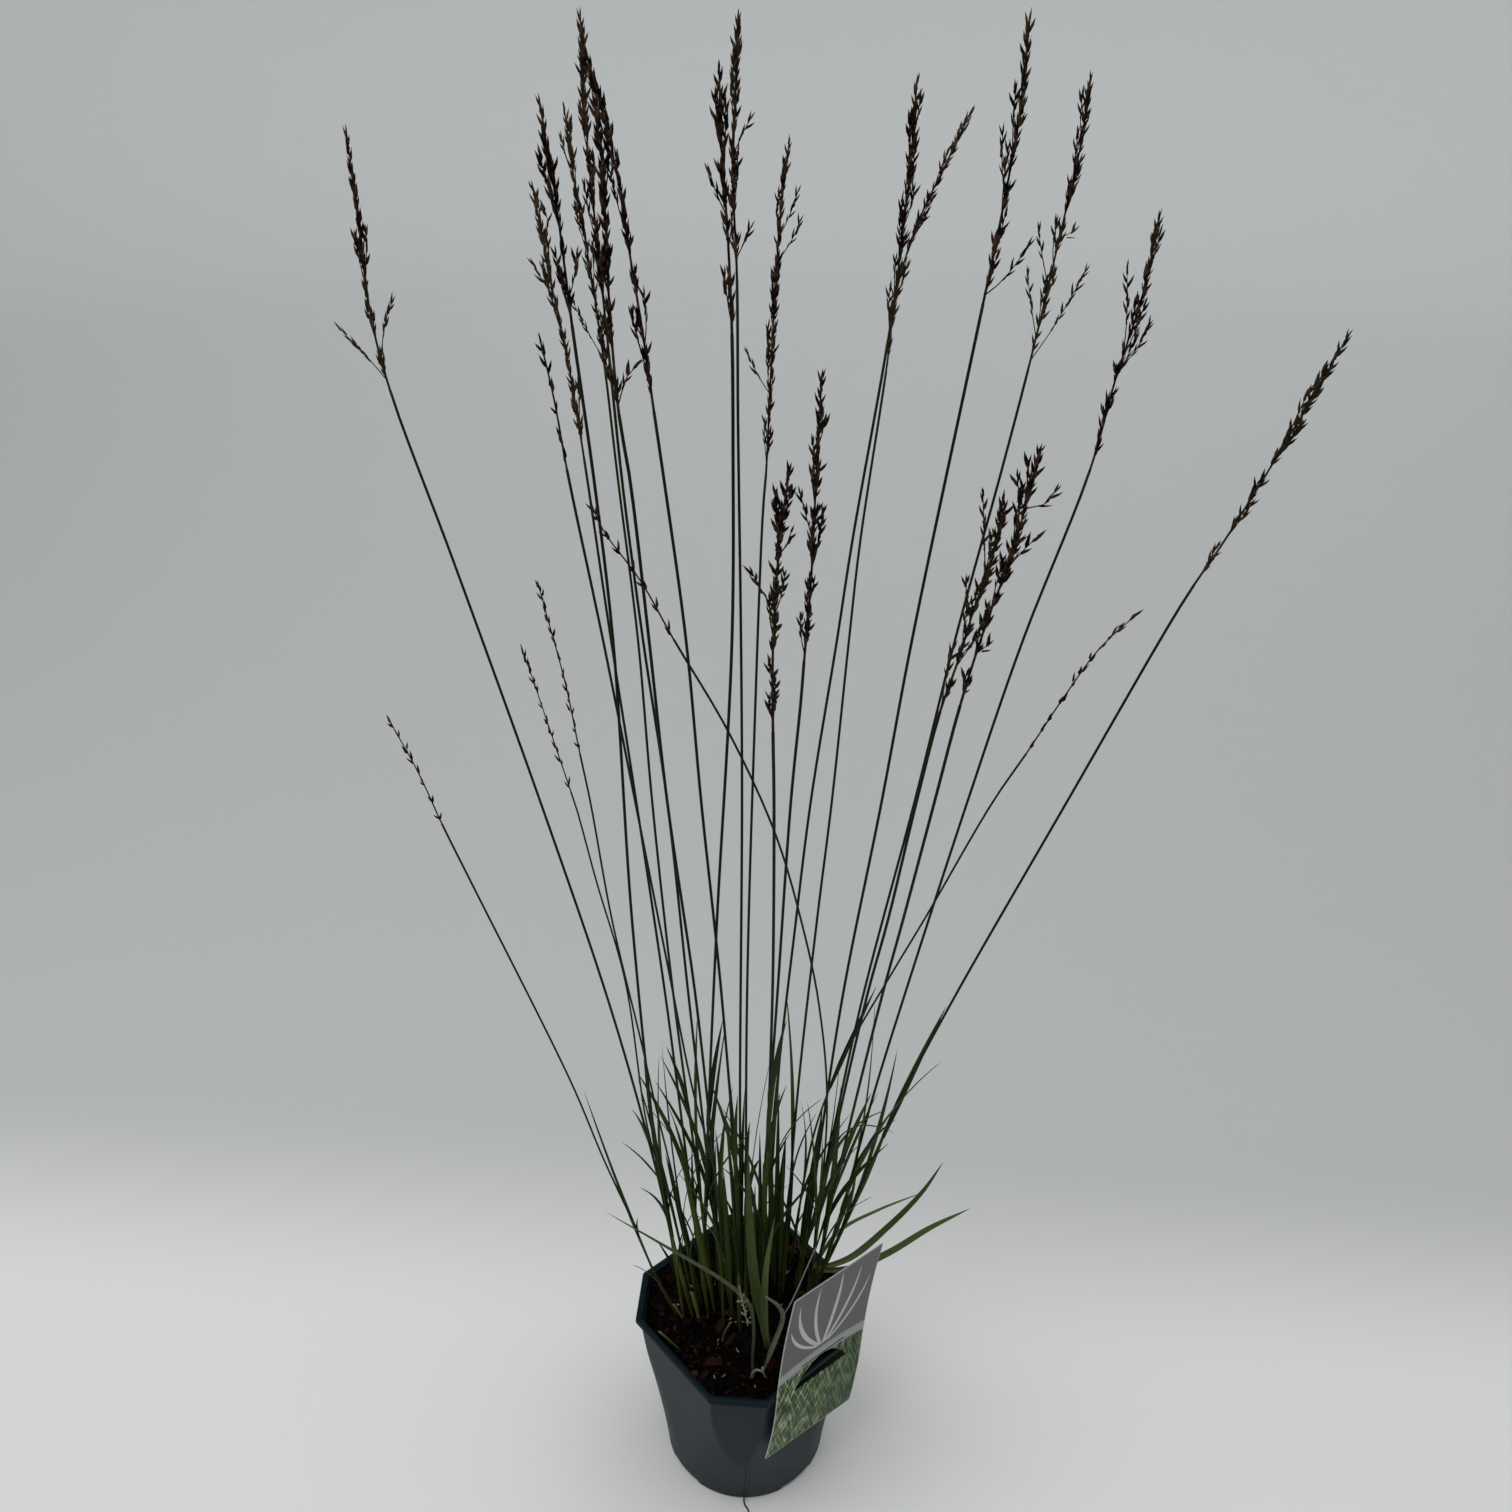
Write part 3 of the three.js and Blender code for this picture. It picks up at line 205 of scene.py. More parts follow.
# Each stem's course and head are rows of places in the picture. reach is how far the tip stands
# behind its foot, or before it where it is negative. Sprigs are rows of places too, and a blade has
# the picture height of its collar, the place of its tip, its depth behind the stem and its width.
# short shortens the blades that are set by rule.
STEMS = [
    dict(reach=40, foot=(684, 1318), stem=[(671, 1235), (649, 1142), (609, 1003), (545, 815), (453, 560)],
         head=[(390, 390), (371, 317), (361, 240), (346, 130)],
         sprigs=[[(381, 358), (386, 319), (393, 300)], [(387, 381), (368, 358), (339, 328)]],
         blades=[(1150, (631, 1108), -8, 3)], short=0.6),
    dict(reach=-60, foot=(693, 1318), stem=[(672, 1235), (655, 1139), (632, 920), (613, 640), (594, 480)],
         head=[(572, 325), (555, 195), (539, 100)], sprigs=[[(568, 302), (574, 279), (577, 251)]]),
    dict(reach=120, foot=(708, 1313), stem=[(692, 1200), (666, 1000), (636, 800), (611, 640)],
         head=[(584, 458), (570, 373), (551, 282), (532, 185)],
         sprigs=[[(555, 297), (540, 277), (532, 262)], [(556, 238), (548, 222), (542, 205)]],
         blades=[(1205, (637, 1072), 14, 4.2), (1200, (668, 1105), -12, 3.6)]),
    dict(reach=30, foot=(722, 1295), stem=[(712, 1200), (689, 1000), (667, 800), (643, 640), (622, 480)],
         head=[(609, 355), (600, 268), (587, 139), (580, 13)], blades=[(1200, (660, 1055), 20, 4.2)]),
    dict(reach=200, foot=(713, 1300), stem=[(701, 1200), (674, 1000), (652, 800), (638, 640), (618, 480)],
         head=[(604, 362), (590, 268), (573, 171), (564, 107)],
         sprigs=[[(602, 358), (589, 334), (572, 300)]],
         blades=[(1120, (666, 1046), 20, 3.2)]),
    dict(reach=-120, foot=(731, 1310), stem=[(718, 1200), (696, 1000), (667, 800), (649, 640), (630, 480)],
         head=[(619, 415), (609, 300), (603, 174), (594, 102)],
         sprigs=[[(617, 408), (628, 375), (640, 362)]]),
    dict(reach=-40, foot=(740, 1332), stem=[(737, 1200), (722, 1000), (701, 800), (686, 640), (664, 480)],
         head=[(654, 412), (643, 335), (632, 268), (612, 150), (586, 51)],
         blades=[(1190, (738, 1094), -14, 3.2), (1165, (728, 1062), 14, 3)]),
    dict(reach=-180, thin=True, foot=(724, 1329),
         stem=[(716, 1180), (693, 1091), (666, 957), (637, 811), (603, 640)],
         head=[(567, 470), (554, 399), (538, 331)]),
    dict(reach=60, foot=(741, 1300), stem=[(740, 1100), (742, 800), (741, 640), (738, 420)],
         head=[(737, 280), (733, 173), (736, 87), (738, 14)],
         sprigs=[[(733, 156), (742, 135), (752, 116)], [(736, 260), (744, 243), (752, 225)]]),
    dict(reach=-100, foot=(703, 1290), stem=[(709, 1100), (717, 920), (732, 640), (733, 440)],
         head=[(732, 335), (728, 240), (722, 150), (719, 67)], sprigs=[[(725, 218), (716, 192), (709, 170)]],
         blades=[(1130, (723, 1019), 16, 3.6)]),
    dict(reach=160, foot=(746, 1318), stem=[(747, 1000), (755, 715), (763, 510)],
         head=[(766, 474), (773, 330), (781, 206), (789, 143)],
         sprigs=[[(780, 240), (791, 212), (799, 189)], [(779, 262), (792, 240), (801, 219)],
                 [(769, 395), (756, 372), (747, 351)]],
         blades=[(1190, (750, 1121), -14, 3)]),
    dict(reach=-150, foot=(757, 1285), stem=[(764, 1180), (777, 1000), (791, 800), (801, 700)],
         head=[(804, 662), (811, 581), (816, 482), (822, 374)],
         sprigs=[[(813, 545), (805, 512), (799, 490)]],
         blades=[(1160, (787, 1084), 18, 3)]),
    dict(reach=-230, foot=(762, 1300), stem=[(770, 1076), (773, 969), (774, 800)],
         head=[(773, 732), (773, 648), (780, 538), (790, 467)],
         sprigs=[[(773, 613), (761, 590), (751, 570)], [(781, 560), (788, 543), (792, 529)]],
         blades=[(1150, (787, 1019), -18, 3.6)]),
    dict(reach=80, foot=(768, 1275), stem=[(774, 1120), (796, 920), (811, 800), (837, 640), (852, 543)],
         head=[(888, 340), (900, 256), (912, 149), (917, 79)]),
    dict(reach=220, foot=(783, 1290), stem=[(797, 1100), (817, 920), (832, 800), (849, 640), (860, 543)],
         head=[(886, 372), (897, 290), (915, 230), (940, 176), (972, 109)]),
    dict(reach=-20, foot=(797, 1300), stem=[(812, 1200), (842, 1000), (882, 800), (912, 640)],
         head=[(983, 304), (1003, 208), (1020, 110), (1030, 15)],
         sprigs=[[(985, 297), (1003, 280), (1031, 243)], [(1004, 200), (1002, 165), (1003, 129)]]),
    dict(reach=100, foot=(795, 1283), stem=[(818, 1200), (862, 1000), (915, 800), (955, 640), (999, 480)],
         head=[(1028, 370), (1046, 296), (1064, 218), (1078, 159), (1091, 78)],
         sprigs=[[(1030, 362), (1053, 328), (1087, 269)], [(1036, 338), (1031, 305), (1027, 270)],
                 [(1048, 288), (1042, 255), (1038, 226)], [(1059, 240), (1068, 237), (1076, 229)]]),
    dict(reach=30, foot=(818, 1285), stem=[(845, 1200), (872, 1100), (903, 1000), (968, 800), (1023, 640)],
         head=[(1090, 470), (1115, 381), (1143, 293), (1160, 214)],
         sprigs=[[(1122, 355), (1127, 314), (1127, 266)], [(1118, 372), (1136, 350), (1150, 324)]],
         blades=[(1215, (942, 1061), -30, 5.5)]),
    dict(reach=-60, foot=(820, 1277), stem=[(856, 1200), (901, 1098), (954, 998), (1068, 800), (1172, 620)],
         head=[(1194, 585), (1219, 549), (1259, 486), (1308, 405), (1349, 334)],
         blades=[(1140, (947, 1005), 14, 4)]),
    dict(reach=-210, foot=(812, 1297), stem=[(832, 1200), (881, 1000), (903, 920), (935, 800)],
         head=[(960, 706), (984, 630), (1015, 544), (1040, 448)],
         sprigs=[[(1030, 512), (1045, 504), (1057, 489)], [(1003, 575), (1018, 556), (1040, 534)],
                 [(1022, 514), (1019, 493), (1017, 473)], [(975, 657), (984, 650), (990, 643)]],
         blades=[(1180, (872, 1092), 16, 3.6)]),
    dict(reach=-150, foot=(806, 1310), stem=[(822, 1200), (866, 1000), (888, 920), (917, 800)],
         head=[(940, 712), (958, 661), (974, 609), (996, 545), (1003, 497)],
         sprigs=[[(984, 580), (984, 530), (983, 493)], [(970, 619), (967, 598), (966, 578)],
                 [(957, 659), (968, 648), (977, 636)]],
         blades=[(1165, (895, 1133), -24, 2.8)]),
    dict(reach=-200, thin=True, foot=(790, 1265),
         stem=[(815, 1130), (847, 1051), (892, 973), (924, 920), (994, 800)],
         head=[(1026, 754), (1062, 700), (1100, 648), (1137, 614)], blades=[(1090, (877, 985), 14, 3)]),
    dict(reach=-200, thin=True, foot=(810, 1290),
         stem=[(827, 1112), (819, 1005), (801, 920), (775, 833), (728, 731)],
         head=[(674, 640), (640, 580), (603, 530), (588, 495)]),
    dict(reach=-60, thin=True, foot=(699, 1311),
         stem=[(676, 1190), (657, 1112), (641, 1041), (612, 920), (590, 800)],
         head=[(580, 754), (566, 686), (545, 609), (537, 580)]),
    dict(reach=40, thin=True, short=0.6, foot=(692, 1296),
         stem=[(672, 1210), (648, 1130), (625, 980), (596, 880), (577, 810)],
         head=[(571, 792), (551, 733), (531, 674), (520, 643)]),
    dict(reach=-150, thin=True, short=0.35, foot=(677, 1315),
         stem=[(654, 1272), (636, 1229), (604, 1160), (571, 1082), (470, 880)],
         head=[(442, 824), (419, 774), (388, 718)]),
]

# Leafy shoots without a flower head. Each blade runs from the foot through its places to its tip,
# its depths are how far those places stand behind the foot, and its width comes last.
SHOOTS = [
    ("shoot_right", (813, 1270), [
        ([(849, 1258), (885, 1229), (922, 1192), (944, 1161)], (4, 10, 16, 20), 5.4),
        ([(850, 1268), (885, 1254), (931, 1227), (971, 1208)], (-4, -10, -16, -26), 5.8),
        ([(838, 1232), (878, 1210), (924, 1192)], (8, 34, 50), 3)]),
    ("shoot_front", (769, 1352), [
        ([(764, 1323), (755, 1282), (749, 1211), (748, 1150)], (-3, -7, -12, -14), 7.4),
        ([(765, 1322), (766, 1270), (775, 1215)], (-6, -20, -30), 5)]),
    ("shoot_drooping", (753, 1377), [
        ([(752, 1361), (753.5, 1330), (748.5, 1303), (724, 1281), (672, 1250), (604, 1211)],
         (-1, -4, -7, -10, -14, -22), 2.9)]),
    ("shoot_withered", (763, 1371), [
        ([(776, 1340), (784, 1315), (792, 1301), (816, 1247)], (0, 2, 4, 30), 2),
        ([(773, 1346), (783, 1316), (777, 1304), (765, 1296)], (-1, -3, -7, -12), 3.4)]),
]


# Draws and courses

def draws(seed):
    """Seeded draws between 0 and 1."""
    state = seed

    def draw():
        nonlocal state
        state = state * 16807 % 2147483647
        return state / 2147483647
    return draw


def drawn(span, random):
    """A draw from a span."""
    return span[0] + (span[1] - span[0]) * random()


def smooth_share(value, low, high):
    share = min(max((value - low) / (high - low), 0), 1)
    return share * share * (3 - 2 * share)


def centripetal(places, share):
    """A point of the centripetal Catmull-Rom curve through the places."""
    place = (len(places) - 1) * share
    i = min(int(place), len(places) - 2)
    second, third = places[i], places[i + 1]
    first = places[i - 1] if i else second * 2 - third
    fourth = places[i + 2] if i + 2 < len(places) else third * 2 - second
    before, between, after = (
        math.sqrt((b - a).length) for a, b in ((first, second), (second, third), (third, fourth)))
    step = third - second
    leaving = ((second - first) / before - (third - first) / (before + between)) * between + step
    arriving = ((fourth - third) / after - (fourth - second) / (between + after)) * between + step
    w = place - i
    return (second + leaving * w + (3 * step - 2 * leaving - arriving) * w ** 2
            + (2 * (second - third) + leaving + arriving) * w ** 3)


class Course:
    """A line through points, measured by the distance along it."""

    def __init__(self, points):
        self.points = points
        self.distances = [0.0]
        for before, after in zip(points, points[1:]):
            self.distances.append(self.distances[-1] + (after - before).length)
        self.length = self.distances[-1]

    @classmethod
    def smooth(cls, places, start=0.0, end=1.0):
        steps = COURSE_STEPS * (len(places) - 1)
        return cls([centripetal(places, start + (end - start) * i / steps) for i in range(steps + 1)])

    def at(self, distance):
        i = min(max(bisect.bisect_left(self.distances, distance) - 1, 0), len(self.points) - 2)
        share = (distance - self.distances[i]) / (self.distances[i + 1] - self.distances[i])
        return self.points[i].lerp(self.points[i + 1], share)

    def heading(self, distance):
        return (self.at(distance + 0.5) - self.at(distance - 0.5)).normalized()

    def nearest(self, place):
        return min((self.at(d) for d in range(math.ceil(self.length))), key=lambda p: (p - place).length)


def crossways(heading):
    """Two directions square to a heading."""
    guide = Vector((0, 1, 0)) if abs(heading.y) < 0.8 else Vector((1, 0, 0))
    side = guide.cross(heading).normalized()
    return side, side.cross(heading)


AHEAD = Vector((-math.sin(YAW) * math.cos(PITCH), math.cos(YAW) * math.cos(PITCH), -math.sin(PITCH)))
LEVEL_RIGHT = Vector((math.cos(YAW), math.sin(YAW), 0))
LEVEL_DOWN = AHEAD.cross(LEVEL_RIGHT)
RIGHT = LEVEL_RIGHT * math.cos(ROLL) + LEVEL_DOWN * math.sin(ROLL)
DOWN = LEVEL_DOWN * math.cos(ROLL) - LEVEL_RIGHT * math.sin(ROLL)


def sightline(picture_place):
    """The direction in which a picture place is seen."""
    across, down = picture_place
    return AHEAD * FOCAL + RIGHT * (across - MIDDLE) + DOWN * (down - MIDDLE)


def place_at_depth(picture_place, depth_at):
    """The place seen at a picture place whose depth is depth_at its height."""
    ray = sightline(picture_place)
    place = Vector((0, 0, POT_HEIGHT))
    for _ in range(SIGHT_ROUNDS):
        place = EYE + ray * ((depth_at(place.z) - EYE.y) / ray.y)
    return place


def soil_level(y):
    """The height of the compost, which rises from the front to the back."""
    share = min(max((y - SOIL_RISE_START) / (SOIL_RISE_END - SOIL_RISE_START), 0), 1)
    return SOIL_FRONT_LEVEL + SOIL_RISE * share


def place_on_soil(picture_place):
    """The place on the compost seen at a picture place."""
    ray = sightline(picture_place)
    place = Vector((0, 0, SOIL_FRONT_LEVEL))
    for _ in range(SIGHT_ROUNDS):
        place = EYE + ray * ((soil_level(place.y) - EYE.z) / ray.z)
    return place


class Stem:
    """A stem's foot, the courses of its bare part and its head, and its blades."""

    def __init__(self, record, number):
        self.record = record
        self.number = number
        self.thin = record.get("thin", False)
        self.foot = place_on_soil(record["foot"])
        places = [self.foot] + [place_at_depth(p, self.depth_at) for p in record["stem"] + record["head"]]
        head_start = (len(record["stem"]) + 1) / (len(places) - 1)
        self.course = Course.smooth(places, 0, head_start)
        self.head_course = Course.smooth(places, head_start, 1)
        self.blades = []

    def depth_at(self, height):
        share = max(0, height - self.foot.z) / FAN_HEIGHT
        return self.foot.y + self.record["reach"] * share ** FAN_POWER

    def collar_distance(self, picture_height):
        """How far up the stem a picture height is seen."""
        distance = 0
        while distance < self.course.length:
            ray = self.course.at(distance) - EYE
            if MIDDLE + FOCAL * ray.dot(DOWN) / ray.dot(AHEAD) < picture_height:
                break
            distance += 2
        return distance


class Blade:
    """A blade's course from its collar to its tip, its width and its flat direction. foot and tip
    are shares of the width there, and neck is the share of the length that stays narrow."""

    def __init__(self, course, collar, width, heading, merit=0, side=None, foot=0.7, tip=0, neck=0):
        self.course = course
        self.collar = collar
        self.width = width
        self.merit = merit
        self.foot = foot
        self.tip = tip
        self.neck = neck
        lean = (course.at(course.length) - course.at(0)).normalized()
        side = side or heading.cross(lean)
        self.side = side.normalized() if side.length > 0.02 else crossways(heading)[0]

    def frame_at(self, distance):
        heading = self.course.heading(distance)
        flat = (self.side - heading * self.side.dot(heading)).normalized()
        return flat, flat.cross(heading)


class Room:
    """Short straight stretches of stems and blades that a new blade has to stay clear of."""

    def __init__(self):
        """A row for each stretch: its start and end, its owner and its half width."""
        self.stretches = np.empty((0, 8))

    def take(self, course, owner, half_width, reach=None):
        rows = []
        for distance in np.arange(0, reach or course.length, STRETCH):
            end = min(distance + STRETCH, course.length)
            rows.append([*course.at(distance), *course.at(end), owner, half_width])
        self.stretches = np.vstack([self.stretches, rows])

    def clearance(self, course, owner, half_width):
        """The gap between a course and what others have taken, up to what is enough."""
        others = self.stretches[self.stretches[:, 6] != owner]
        points = np.array([course.at(d) for d in np.arange(0, course.length, PROBE_STEP)])[:, None]
        starts, along = others[:, :3], others[:, 3:6] - others[:, :3]
        share = np.clip(((points - starts) * along).sum(2) / (along ** 2).sum(1), 0, 1)
        distances = np.linalg.norm(starts + along * share[..., None] - points, axis=2)
        return min((distances - others[:, 7]).min() - half_width, ENOUGH_ROOM)


def bent_course(root, shoulder, tip):
    """A course that leaves its root for its shoulder and bends over to its tip."""
    shares = [i / BEND_STEPS for i in range(BEND_STEPS + 1)]
    return Course([root * (1 - t) ** 2 + shoulder * (2 * t * (1 - t)) + tip * t ** 2 for t in shares])


def blade_course(stem_course, collar, tip):
    """A blade leaves its stem along it and bends over to its tip."""
    root = stem_course.at(collar)
    shoulder = root + stem_course.heading(collar) * (0.5 * (tip - root).length)
    return bent_course(root, shoulder, tip)


def given_blades(stem, room):
    """Blades whose tips are given by their picture places."""
    for collar_height, tip, depth, width in stem.record.get("blades", []):
        collar = stem.collar_distance(collar_height)
        heading = stem.course.heading(collar)
        tries = []
        for extra in DEPTH_TRIES:
            end = place_at_depth(tip, lambda height: stem.depth_at(height) + depth + extra)
            course = blade_course(stem.course, collar, end)
            clear = room.clearance(course, stem.number, width / 2)
            tries.append(Blade(course, collar, width, heading, clear - abs(extra) * 0.01))
        best = max(tries, key=lambda blade: blade.merit)
        room.take(best.course, stem.number, width / 2)
        stem.blades.append(best)


def ruled_blade(stem, room, collar, length, spread, width, turn, inward=None):
    """A blade turned to where there is room for it, and inward where that is given, or None."""
    heading = stem.course.heading(collar)
    side, front = crossways(heading)
    best = None
    for choice in range(BLADE_CHOICES):
        angle = turn + math.tau * choice / BLADE_CHOICES
        out = side * math.cos(angle) + front * math.sin(angle)
        if inward and out.dot(inward) < 0:
            continue
        rise, away = length * math.cos(spread), length * math.sin(spread)
        course = blade_course(stem.course, collar, stem.course.at(collar) + heading * rise + out * away)
        clear = room.clearance(course, stem.number, width / 2)
        if best is None or clear > best.merit + 1e-6:
            best = Blade(course, collar, width, heading, clear)
    if best is None or best.merit <= LEAST_ROOM:
        return None
    room.take(best.course, stem.number, width / 2)
    return best


def ruled_blades(stem, room, random):
    """A stem's short blades, one above the other."""
    for i in range(BLADES_BY_RULE):
        collar = COLLAR_STEP * i + drawn(FIRST_COLLAR, random)
        length = drawn(RULE_LENGTH, random) * stem.record.get("short", 1)
        spread = drawn(RULE_SPREAD, random)
        width = THIN_WIDTH if stem.thin else drawn(RULE_WIDTH, random)
        turn = math.tau * random()
        blade = ruled_blade(stem, room, collar, length, spread, width, turn)
        if blade:
            stem.blades.append(blade)


def finer_blade(stem, room, middle, random):
    """One long upright blade more for each stem, turned to the middle of the clump."""
    width = drawn(THIN_FINER_WIDTH if stem.thin else FINER_WIDTH, random)
    blade = ruled_blade(
        stem, room, drawn(FINER_COLLAR, random), drawn(FINER_LENGTH, random), drawn(FINER_SPREAD, random),
        width, math.tau * random(), middle - stem.foot)
    if blade:
        stem.blades.append(blade)


def basal_blades(stems, room, middle, random):
    """Broad blades that rise from the soil among the stems and lean out of the clump."""
    blades = []
    for i in range(BASAL_BLADES):
        start = stems[int(random() * len(stems))].foot.lerp(middle, 0.3)
        length = drawn(BASAL_LENGTH, random)
        width = drawn(BASAL_WIDTH, random)
        best = None
        for _ in range(BLADE_CHOICES):
            foot = Vector((start.x + drawn((-10, 10), random), start.y + drawn((-9, 9), random), 0))
            out = (foot - Vector((middle.x, middle.y, 0))) / 50
            out += Vector((drawn((-0.6, 0.6), random), drawn((-0.6, 0.6), random), 0))
            bend = drawn(BASAL_BEND, random)
            foot.z = soil_level(foot.y) - 3
            shoulder = foot + (UP + out * 0.1).normalized() * length * 0.55
            tip = shoulder + (UP + out * bend).normalized() * length * 0.45
            course = bent_course(foot, shoulder, tip)
            clear = room.clearance(course, -1, width / 2)
            if inside_wall(foot.x, foot.y, 6) and (best is None or clear > best.merit):
                best = Blade(course, 0, width, course.heading(1), clear, foot=0.3, neck=0.14)
        if best and best.merit > LEAST_BASAL_ROOM:
            room.take(best.course, 100 + i, width / 2)
            blades.append(best)
    return blades


# Meshes: grids rolled round courses

def new_mesh():
    """A mesh with a UV map and a number for the tone of each leaf, flake or spikelet."""
    bm = bmesh.new()
    bm.loops.layers.uv.new("UVMap")
    bm.verts.layers.float.new("tone")
    return bm


def mesh_of(bm, name):
    """A mesh of what bm holds, which is freed."""
    mesh = bpy.data.meshes.new(name)
    bm.to_mesh(mesh)
    bm.free()
    return mesh


def placed(name, data):
    """A new object in the scene."""
    made = bpy.data.objects.new(name, data)
    bpy.context.collection.objects.link(made)
    return made


def sleeve(bm, course, stations, around, frame_at, section, tone=0.5):
    """Rolls a grid round a course. section(row, turn) gives how far a point of that row lies
    across and out; rows of no size close the ends."""
    rows = len(stations) - 1
    grid = bmesh.ops.create_grid(bm, x_segments=around, y_segments=rows, size=0.5, calc_uvs=True)["verts"]
    frames = [(course.at(distance), *frame_at(distance)) for distance in stations]
    tone_of = bm.verts.layers.float["tone"]
    for point in grid:
        point[tone_of] = tone
        row = round((point.co.y + 0.5) * rows)
        across, out = section(row, math.tau * (point.co.x + 0.5))
        middle, side, front = frames[row]
        point.co = middle + side * across + front * out
    bmesh.ops.remove_doubles(bm, verts=grid, dist=SEAM)


def round_sleeve(bm, course, stations, around, radii, tone=0.5):
    """A round tube that is closed at both ends."""
    closed = [stations[0], *stations, stations[-1]]
    sizes = [0, *radii, 0]
    sleeve(bm, course, closed, around, lambda distance: crossways(course.heading(distance)),
           lambda row, turn: (sizes[row] * math.cos(turn), sizes[row] * math.sin(turn)), tone)


def evenly(start, end, step):
    """Stations from start to end, about a step apart."""
    count = max(1, round((end - start) / step))
    return [start + (end - start) * i / count for i in range(count + 1)]


def blade_form(share, foot, tip, neck):
    """The width of a blade along it: narrow up to its neck, then widening, then drawn out to its tip."""
    swelling = foot + (1 - foot) * smooth_share(share, neck, neck + 0.32)
    return swelling * (tip + (1 - tip) * (1 - max(0, (share - 0.3) / 0.7) ** 1.9) ** 0.85)


def add_blade(bm, blade, random, fold=0.24, twist=0.5):
    """A channelled blade with a keel below, folded at its foot and flatter and twisted towards its tip."""
    course = blade.course
    shares = [(i / BLADE_ROWS) ** 1.1 for i in range(BLADE_ROWS + 1)]
    turning = twist * (2 * random() - 1)
    ripple = 0.5 * random()

    def frame_at(distance):
        flat, out = blade.frame_at(distance)
        angle = turning * (distance / course.length) ** 1.4 + 0.12 * math.sin(distance / 17 + 9 * ripple)
        return flat * math.cos(angle) + out * math.sin(angle), out * math.cos(angle) - flat * math.sin(angle)

    def section(row, turn):
        share = shares[row]
        if row in (0, BLADE_ROWS):
            return 0, 0
        half_width = blade.width / 2 * max(blade_form(share, blade.foot, blade.tip, blade.neck), 0.05)
        channel = (fold + 0.35 * (1 - smooth_share(share, 0, 0.3))) * half_width
        across = math.cos(turn)
        thickness = min(BLADE_THICKNESS, half_width) / 2 * (0.35 + 0.65 * (1 - abs(across)))
        return half_width * across, channel * (0.5 - abs(across)) + thickness * math.sin(turn)

    stations = [share * course.length for share in shares]
    sleeve(bm, course, stations, BLADE_AROUND, frame_at, section, random())


def add_stem(bm, stem, random):
    """The bare stem, and round its foot the sheaths of its blades, one inside the next."""
    slimness = THIN_SHARE if stem.thin else 1
    course = stem.course
    stations = evenly(-FOOT_DEPTH, course.length, STEM_ROW)
    taper = TOP_RADIUS - BARE_RADIUS
    radii = [slimness * (BARE_RADIUS + taper * max(0, d) / course.length) for d in stations]
    round_sleeve(bm, course, stations, STEM_AROUND, radii, drawn((0.3, 0.7), random))
    collars = sorted({round(blade.collar) for blade in stem.blades} | {LOW_COLLAR}, reverse=True)
    inner = max(0.95, SHEATH_RADIUS - SHEATH_WALL * (len(collars) - 1))
    for i, collar in enumerate(collars):
        full = slimness * min(SHEATH_RADIUS, inner + SHEATH_WALL * i)
        along = evenly(-FOOT_DEPTH * 0.6, collar + 4, 5)
        swelling = drawn((0.1, 0.34), random)
        widths = [full * (0.62 + 0.28 * smooth_share(d, 0, 45) + swelling * math.sin(math.pi * min(
            max(0, d) / (collar + 4), 1)) ** 2) for d in along]
        widths[-1] = full * 0.8
        round_sleeve(bm, course, along, STEM_AROUND, widths, drawn((0.4, 1), random))


# Flower heads

def spikelet_shape():
    """Two florets, 1 long and pointing up, to be stamped many times."""
    bm = new_mesh()
    axis = Course([Vector((0, 0, -1)), Vector((0, 0, 2))])
    heights = (0, 0.28, 0.6, 1)
    for length, radius, lean, turn in FLORETS:
        radii = (0, radius, radius * 0.75, 0)
        start = len(bm.verts)
        sleeve(bm, axis, [1 + height * length for height in heights], 5,
               lambda distance: (Vector((1, 0, 0)), Vector((0, 1, 0))),
               lambda row, angle: (radii[row] * math.cos(angle), radii[row] * math.sin(angle)))
        bm.verts.ensure_lookup_table()
        bmesh.ops.rotate(bm, cent=(0, 0, 0), verts=bm.verts[start:],
                         matrix=Matrix.Rotation(turn, 3, "Z") @ Matrix.Rotation(lean, 3, "X"))
    bmesh.ops.recalc_face_normals(bm, faces=bm.faces)
    return mesh_of(bm, "spikelet")


def stamp(bm, shape, root, direction, length, thickness, turn=0.0):
    """Adds a shape that points up, standing at root and pointing along direction."""
    scale = Matrix.Diagonal((thickness, thickness, length, 1))
    aim = UP.rotation_difference(direction).to_matrix().to_4x4()
    copy = shape.copy()
    copy.transform(Matrix.Translation(root) @ aim @ Matrix.Rotation(turn, 4, "Z") @ scale)
    bm.from_mesh(copy)
    bpy.data.meshes.remove(copy)


def aside(heading, around, spread):
    """A direction leaning away from a heading."""
    side, front = crossways(heading)
    out = side * math.cos(around) + front * math.sin(around)
    return heading * math.cos(spread) + out * math.sin(spread)


def add_stalk(bm, start, end, share, radii):
    """A straight thread that covers this share of the way from start to end."""
    round_sleeve(bm, Course([start, end]), [0, (end - start).length * share], 3, radii)


